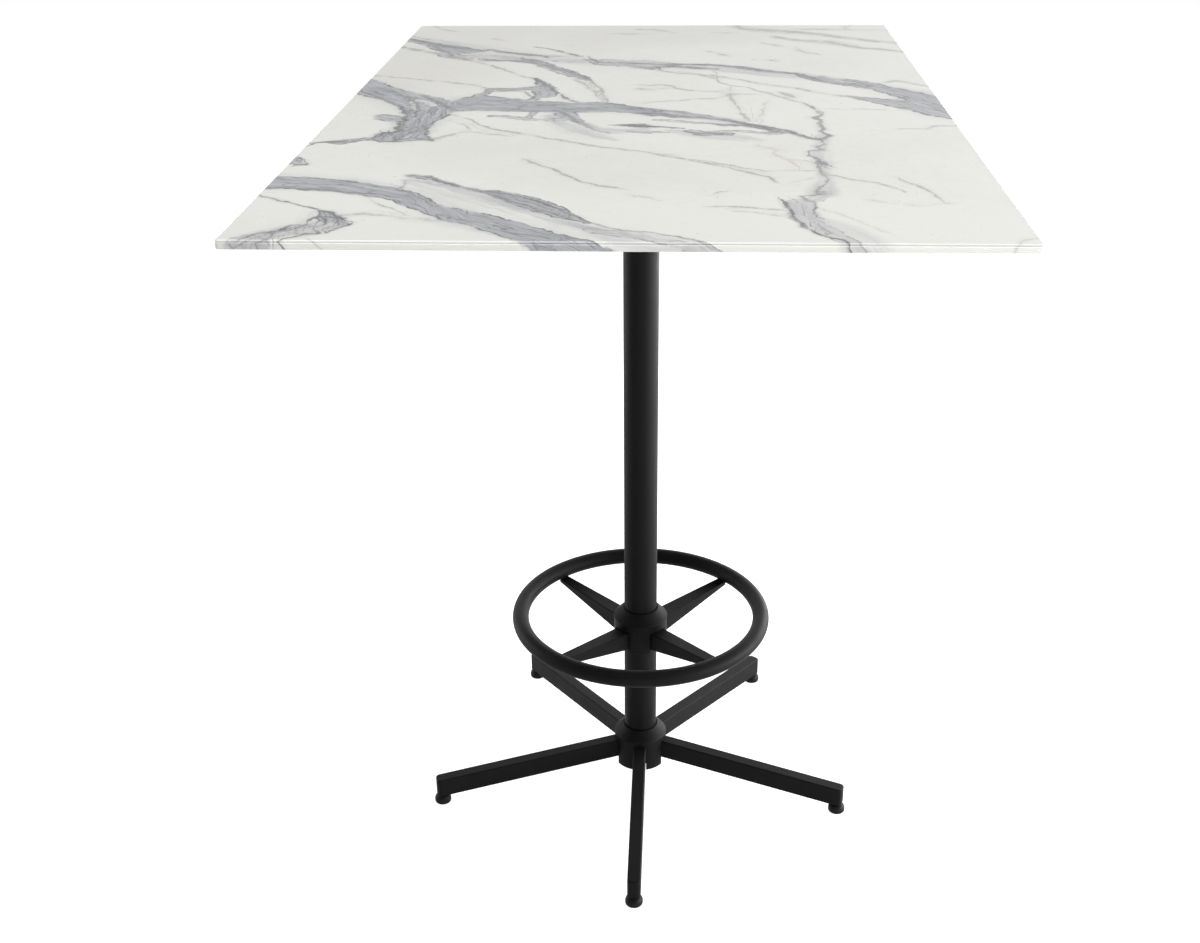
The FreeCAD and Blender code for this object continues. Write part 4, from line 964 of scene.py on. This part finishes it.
@dataclass
class VeinMap:
    """Works out where each of the slab's points lies against the veins, in millimetres."""

    points: np.ndarray
    drop: float = 1.4
    edge_slack: float = 1e-3
    seed: int = 11
    wander: float = 3.2
    wander_scale: float = 52.0
    wander_octaves: int = 3
    far: float = 60.0
    flow_step: float = 731.0
    soft_rim: float = 0.25
    fine_reach: float = 14.0
    fine_fade: float = 5.0
    spread: tuple[Place, Place] = ((-610.0, -200.0, 300.0), (1.0, 1.6, 2.1))

    def _unfolded(self) -> np.ndarray:
        """Lay the slab's edges out beside its top, so that the veins run on down them.

        Returns:
            The laid out points, without their height.
        """
        flat = self.points[:, :2].copy()
        below = self.points[:, 2].max() - self.points[:, 2]
        for axis in (1, 0):
            reach = np.abs(flat[:, axis]).max()
            on_edge = np.abs(flat[:, axis]) > reach - below - self.edge_slack
            flat[:, axis] += np.where(on_edge, np.sign(flat[:, axis]) * below * self.drop, 0.0)
            below = np.where(on_edge, 0.0, below)
        return flat

    def _wandered(self) -> np.ndarray:
        """Shift the points a little, so that straight stretches of the veins wander.

        Returns:
            The shifted points.
        """
        noise.seed_set(self.seed)
        flat = self._unfolded()
        moved = np.empty_like(flat)
        for row, (x, y) in enumerate(flat):
            at = Vector((x * MM * self.wander_scale, y * MM * self.wander_scale, 0.0))
            shift = noise.turbulence_vector(at, self.wander_octaves, False)
            moved[row] = (x + self.wander * shift.x, y + self.wander * shift.y)
        return moved

    @staticmethod
    def _measure(points: np.ndarray, line: VeinLine) -> tuple[np.ndarray, ...]:
        """Measure every point against one vein.

        Args:
            points: the points.
            line: the vein's points and half-widths.

        Returns:
            For each point the way along the vein, the signed way across it, how deep it lies in the
            vein and the half-width there.
        """
        best = np.full(len(points), np.inf)
        along, across, half = (np.zeros(len(points)) for _ in range(3))
        run = 0.0
        for (x0, y0, w0), (x1, y1, w1) in zip(line, line[1:]):
            length = math.hypot(x1 - x0, y1 - y0)
            ux, uy = (x1 - x0) / length, (y1 - y0) / length
            dx, dy = points[:, 0] - x0, points[:, 1] - y0
            part = np.clip(dx * ux + dy * uy, 0.0, length)
            side = dy * ux - dx * uy
            distance = np.hypot(dx - part * ux, dy - part * uy)
            nearer = distance < best
            best = np.where(nearer, distance, best)
            along = np.where(nearer, run + part, along)
            across = np.where(nearer, np.where(side < 0.0, -distance, distance), across)
            half = np.where(nearer, w0 + (w1 - w0) * part / length, half)
            run += length
        return along, across, half - best, half

    def fields(self) -> dict[str, np.ndarray]:
        """Measure the points against all veins.

        Returns:
            By attribute name, three numbers for each point, their lengths in metres.
        """
        points = self._wandered()
        spread = np.interp(points[:, 1], *self.spread)
        band = Nearest(len(points), -self.far)
        flow = Nearest(len(points))
        fine = {kind: Nearest(len(points)) for kind in (DARK, PALE, ROSE)}
        soft = np.zeros((len(points), 3))
        for number, vein in enumerate(VEINS):
            along, across, depth, half = self._measure(points, vein.line)
            if vein.kind in (BAND, LACE, CRACKLED):
                texture = float(vein.kind is CRACKLED) - float(vein.kind is LACE)
                band.take(depth, depth, vein.strength, texture)
            if vein.kind in (BAND, LACE, CRACKLED, WASH):
                flow.take(depth, along + self.flow_step * number, across)
            if vein.kind in (WASH, HAZE):
                inside = np.clip(depth / half + self.soft_rim, 0.0, 1.0)
                cover = vein.strength * inside * inside * (3.0 - 2.0 * inside)
                column = (WASH, HAZE).index(vein.kind)
                soft[:, column] = np.maximum(soft[:, column], cover)
            if vein.kind in fine:
                near = np.clip((self.fine_reach + depth) / self.fine_fade, 0.0, 1.0)
                fine[vein.kind].take(depth, across, vein.strength * near, half * spread)
        band.rows[:, 0] = band.depth
        fields = {"band": band.rows * (MM, 1.0, 1.0), "flow": flow.rows * MM, "soft": soft}
        fields.update({kind.value: nearest.rows * (MM, 1.0, MM) for kind, nearest in fine.items()})
        return {f"vein_{name}": numbers for name, numbers in fields.items()}


def into_object(shape: bmesh.types.BMesh, name: str, material: bpy.types.Material) -> bpy.types.Object:
    """Turn a finished mesh into a piece of the scene.

    Args:
        shape: the mesh, which is used up.
        name: the piece's name.
        material: its finish.

    Returns:
        The piece, at the origin.
    """
    mesh = bpy.data.meshes.new(name)
    shape.to_mesh(mesh)
    shape.free()
    mesh.materials.append(material)
    piece = bpy.data.objects.new(name, mesh)
    bpy.context.scene.collection.objects.link(piece)
    LOG.info("%s: %d faces", name, len(mesh.polygons))
    return piece


def crease(shape: bmesh.types.BMesh, limit: float = 0.5) -> None:
    """Shade a mesh smooth, with its edges sharp where its faces turn by more than a limit.

    Args:
        shape: the mesh.
        limit: the turn, in radians.
    """
    shape.normal_update()
    for face in shape.faces:
        face.smooth = True
    for edge in shape.edges:
        edge.smooth = not edge.is_manifold or edge.calc_face_angle(0.0) < limit


def bevel(shape: bmesh.types.BMesh, edges: list[bmesh.types.BMEdge], offset: float,
          segments: int) -> None:
    """Round or chamfer edges of a mesh.

    Args:
        shape: the mesh.
        edges: the edges.
        offset: how far from each edge its bevel begins.
        segments: how many faces go round it.
    """
    bmesh.ops.bevel(shape, geom=edges, offset=offset, offset_type="OFFSET", segments=segments,
                    profile=0.5, affect="EDGES", material=-1, clamp_overlap=True)


@dataclass
class Slab:
    """The thin veined slab, with rounded corners and a rounded upper arris.

    Faces that look down, by the Z of their normals, are not divided. Those that look straight up or
    down are shaded flat.
    """

    finish: VeinedStone
    node: str = "tabletop"
    corner: float = 4.0 * MM
    corner_segments: int = 6
    arris: float = 3.0 * MM
    arris_segments: int = 5
    under_chamfer: float = 1.0 * MM
    pitch: float = 3.6 * MM
    down: float = -0.9
    straight: float = 0.999

    def _plate(self) -> bmesh.types.BMesh:
        """Shape the plate in the box of its CAD node.

        Returns:
            The plate, before its faces are divided.
        """
        low, high = (Vector(corner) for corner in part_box(self.node))
        plate = bmesh.new()
        stretch = Matrix.Diagonal((*(high - low), 1.0))
        bmesh.ops.create_cube(plate, size=1.0, matrix=Matrix.Translation((low + high) / 2) @ stretch)
        half_thick = (high.z - low.z) / 2
        uprights = [e for e in plate.edges if abs(e.verts[0].co.z - e.verts[1].co.z) > half_thick]
        bevel(plate, uprights, self.corner, self.corner_segments)
        for level, offset, segments in ((high.z, self.arris, self.arris_segments),
                                        (low.z, self.under_chamfer, 1)):
            rim = [e for e in plate.edges if all(abs(v.co.z - level) < LEVEL for v in e.verts)]
            bevel(plate, rim, offset, segments)
        plate.normal_update()
        return plate

    def _divide(self, plate: bmesh.types.BMesh) -> None:
        """Cut the top and the edges into small faces that can carry the veins.

        Args:
            plate: the plate.
        """
        for axis in (0, 1):
            reach = max(v.co[axis] for v in plate.verts)
            count = round(2 * reach / self.pitch)
            normal = Vector((1.0 - axis, float(axis), 0.0))
            ahead = [f for f in plate.faces if f.normal.z > self.down]
            for step in range(1, count):
                at = -reach + 2 * reach * step / count
                ahead = [f for f in ahead if max(v.co[axis] for v in f.verts) > at + TOUCHING]
                crossed = [f for f in ahead if min(v.co[axis] for v in f.verts) < at - TOUCHING]
                touched = dict.fromkeys(part for f in crossed for part in (*f.edges, *f.verts))
                cut = bmesh.ops.bisect_plane(plate, geom=[*crossed, *touched], dist=WELD,
                                             plane_co=normal * at, plane_no=normal)["geom"]
                known = set(crossed)
                ahead += [f for f in cut if isinstance(f, bmesh.types.BMFace) and f not in known]

    def build(self) -> None:
        """Build the slab, map its veins and put it in place of its CAD node."""
        plate = self._plate()
        self._divide(plate)
        crease(plate)
        for face in plate.faces:
            face.smooth = abs(face.normal.z) < self.straight
        piece = into_object(plate, "veined_slab", self.finish.build())
        mesh = piece.data
        points = np.empty(len(mesh.vertices) * 3)
        mesh.vertices.foreach_get("co", points)
        for name, values in VeinMap(points.reshape(-1, 3) / MM).fields().items():
            layer = mesh.attributes.new(name, "FLOAT_VECTOR", "POINT")
            layer.data.foreach_set("vector", values.ravel())
        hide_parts(self.node)
        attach(piece, "table")


@dataclass
class Glide:
    """A levelling glide's M8 stud, cut with its thread.

    The profile lists points of one thread, by their part of the pitch and of the depth.
    """

    number: int
    finish: bpy.types.Material
    radius: float = 4.0 * MM
    pitch: float = 1.25 * MM
    depth: float = 0.62 * MM
    profile: tuple[tuple[float, float], ...] = ((0.0, 1.0), (0.12, 1.0), (0.46, 0.0), (0.60, 0.0))
    run_out: float = 1.5
    lead_in: float = 0.7 * MM
    sides: int = 28

    def _screw(self, low: float, high: float) -> bmesh.types.BMesh:
        """Turn the thread and cut it off at both ends.

        Args:
            low: height of the lower end.
            high: height of the upper end.

        Returns:
            The closed stud, round the Z axis.
        """
        stud = bmesh.new()
        first = low - self.run_out * self.pitch
        teeth = math.ceil((high - low) / self.pitch) + round(2 * self.run_out)
        levels = [first + tooth * self.pitch for tooth in range(teeth)]
        chain = [stud.verts.new((self.radius - inset * self.depth, 0.0, level + part * self.pitch))
                 for level in levels for part, inset in self.profile]
        edges = [stud.edges.new(pair) for pair in zip(chain, chain[1:])]
        bmesh.ops.spin(stud, geom=chain + edges, cent=(0.0, 0.0, 0.0), axis=(0.0, 0.0, 1.0),
                       dvec=(0.0, 0.0, self.pitch / self.sides), angle=math.tau, steps=self.sides,
                       use_merge=False, use_duplicate=False)
        bmesh.ops.remove_doubles(stud, verts=stud.verts, dist=TOUCHING)
        for level, up in ((low, -1.0), (high, 1.0)):
            cut = bmesh.ops.bisect_plane(stud, geom=[*stud.verts, *stud.edges, *stud.faces], dist=WELD,
                                         plane_co=(0.0, 0.0, level), plane_no=(0.0, 0.0, up),
                                         clear_outer=True)
            rim = [e for e in cut["geom_cut"] if isinstance(e, bmesh.types.BMEdge)]
            bmesh.ops.edgeloop_fill(stud, edges=rim)
        return stud

    def build(self) -> None:
        """Build the stud, chamfer its ends and put it in place of the plain one."""
        node = f"glide_stud_{self.number}"
        low, high = (Vector(corner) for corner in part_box(node))
        middle = (low + high) / 2
        stud = self._screw(low.z, high.z)
        for vert in stud.verts:
            near_end = min(vert.co.z - low.z, high.z - vert.co.z)
            across = math.hypot(vert.co.x, vert.co.y)
            allowed = self.radius - self.lead_in + max(near_end, 0.0)
            if across > allowed:
                vert.co.x *= allowed / across
                vert.co.y *= allowed / across
        bmesh.ops.recalc_face_normals(stud, faces=stud.faces)
        crease(stud)
        bmesh.ops.translate(stud, verts=stud.verts, vec=Vector((middle.x, middle.y, 0.0)))
        piece = into_object(stud, f"threaded_stud_{self.number}", self.finish)
        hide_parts(node)
        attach(piece, f"glide_{self.number}")


@dataclass
class Frame:
    """The CAD nodes that keep their shapes and get their finishes."""

    finishes: dict[Slot, bpy.types.Material]

    def dress(self) -> None:
        """Give every node the finish of its material slot."""
        for part in frame["record"]["subparts"]:
            finish = self.finishes.get(Slot(part["material_slot"]))
            if finish is None:
                continue
            for place in frame["nodes"][part["node"]].material_slots:
                place.material = finish
            LOG.info("%s: %s", part["node"], finish.name)


@dataclass(frozen=True)
class PaleFloor:
    """Finish of the floor: pale, white to the camera, with the object's shadow kept."""

    name: str = "pale_floor"
    paint: Colour = (0.52, 0.52, 0.52, 1.0)
    glow: float = 0.84

    def build(self) -> bpy.types.Material:
        """Return the finished material."""
        material = empty_material(self.name)
        wiring = Wiring(material.node_tree)
        paint = wiring.add("BsdfDiffuse", {"Color": self.paint})
        glow = wiring.add("Emission", {"Strength": wiring.seen(self.glow)})
        both = wiring.add("AddShader", {0: paint.outputs[0], 1: glow.outputs[0]})
        wiring.add("OutputMaterial", {"Surface": both.outputs[0]})
        return material


class Patch(NamedTuple):
    """A soft round patch of the surround.

    It has its way from the object, the cosines of the angles at which it begins and is full, and
    the factor in its middle.
    """

    way: Place
    edge: float
    core: float
    level: float


@dataclass(frozen=True)
class SoftBox:
    """A rectangular soft box: its place, what it faces, its size in metres and its power in watts."""

    name: str
    place: Place
    aim: Place
    width: float
    height: float
    power: float

    def hang(self) -> None:
        """Hang the soft box, out of the camera's sight."""
        box = bpy.data.lights.new(self.name, "AREA")
        box.shape = "RECTANGLE"
        box.size = self.width
        box.size_y = self.height
        box.energy = self.power
        lamp = bpy.data.objects.new(self.name, box)
        lamp.visible_camera = False
        lamp.location = self.place
        way = Vector(self.aim) - Vector(self.place)
        lamp.rotation_euler = way.to_track_quat("-Z", "Y").to_euler()
        bpy.context.scene.collection.objects.link(lamp)


SOFT_BOXES = (
    SoftBox("overhead_box", (0.0, -0.8, 3.2), (0.0, -0.2, 1.0), 3.2, 3.2, 49.0),
    SoftBox("front_box", (0.3, -4.4, 0.47), (0.0, 0.0, 0.5), 3.6, 0.94, 46.0),
    SoftBox("right_front_box", (1.85, -0.85, 0.40), (0.0, 0.0, 0.30), 1.1, 0.8, 42.0),
    SoftBox("right_box", (2.0, 0.4, 0.44), (0.0, 0.0, 0.36), 1.3, 0.9, 62.0),
    SoftBox("right_back_box", (1.4, 1.7, 0.52), (0.0, 0.0, 0.40), 1.0, 0.9, 34.0),
    SoftBox("left_box", (-2.0, 0.7, 0.52), (0.0, 0.0, 0.40), 1.4, 0.9, 20.0),
    SoftBox("low_back_box", (0.0, 1.7, 0.72), (0.0, 0.0, 0.10), 2.6, 0.45, 13.0),
)


@dataclass
class Studio:
    """Floor, surround, soft boxes and camera."""

    floor_side: float = 60.0
    surround: float = 0.38
    flag: Patch = Patch((0.0, -0.574, 0.819), 0.55, 0.95, 0.05)
    sheen: Patch = Patch((0.93, 0.36, 0.0), 0.20, 1.0, 1.8)
    eye: Place = (0.05083, -1.94484, 1.43788)
    heading: float = -3.21
    dip: float = 25.41
    roll: float = 0.62
    lens: float = 45.30
    sensor: float = 36.0
    sight: float = 200.0

    def lay_floor(self) -> None:
        """Lay the pale floor."""
        sheet = bmesh.new()
        bmesh.ops.create_grid(sheet, x_segments=1, y_segments=1, size=self.floor_side / 2)
        into_object(sheet, "floor", PaleFloor().build())

    def surround_with_white(self) -> None:
        """Make the world a pale surround, with a darker patch above the front and a brighter one."""
        world = bpy.data.worlds.new("surround")
        bpy.context.scene.world = world
        world.use_nodes = True
        wiring = Wiring(world.node_tree)
        level = wiring.seen(1.0, self.surround)
        for patch in (self.flag, self.sheen):
            ways = {0: wiring.add("TexCoord").outputs["Generated"], 1: patch.way}
            facing = wiring.add("VectorMath", ways, operation="DOT_PRODUCT").outputs["Value"]
            level = wiring.times(level, wiring.ramp(facing, patch.edge, patch.core, 1.0, patch.level))
        backdrop = next(n for n in world.node_tree.nodes if n.type == "BACKGROUND")
        wiring.feed(backdrop, {"Color": (1.0, 1.0, 1.0, 1.0), "Strength": level})

    def place_camera(self) -> None:
        """Place the camera and make it the scene's own."""
        optics = bpy.data.cameras.new("camera")
        optics.sensor_fit = "HORIZONTAL"
        optics.sensor_width = self.sensor
        optics.lens = self.lens
        optics.clip_end = self.sight
        camera = bpy.data.objects.new("camera", optics)
        turn = (Matrix.Rotation(-math.radians(self.heading), 4, "Z")
                @ Matrix.Rotation(math.radians(90.0 - self.dip), 4, "X")
                @ Matrix.Rotation(-math.radians(self.roll), 4, "Z"))
        camera.matrix_world = Matrix.Translation(self.eye) @ turn
        bpy.context.scene.collection.objects.link(camera)
        bpy.context.scene.camera = camera

    def build(self) -> None:
        """Build the whole studio."""
        bpy.context.scene.view_settings.view_transform = "Standard"
        self.lay_floor()
        self.surround_with_white()
        for box in SOFT_BOXES:
            box.hang()
        self.place_camera()


def main() -> None:
    """Build every sub-assembly in order."""
    logging.basicConfig(level=logging.INFO, format="%(name)s: %(message)s")
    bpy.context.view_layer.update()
    Studio().build()
    zinc = ZincSteel().build()
    Frame({Slot.PAINT: PowderCoat().build(), Slot.ZINC: zinc, Slot.BRASS: InsertBrass().build(),
           Slot.PLASTIC: MouldedPlastic().build()}).dress()
    Slab(finish=VeinedStone()).build()
    for number in range(1, GLIDES + 1):
        Glide(number=number, finish=zinc).build()


if __name__ == "__main__":
    main()
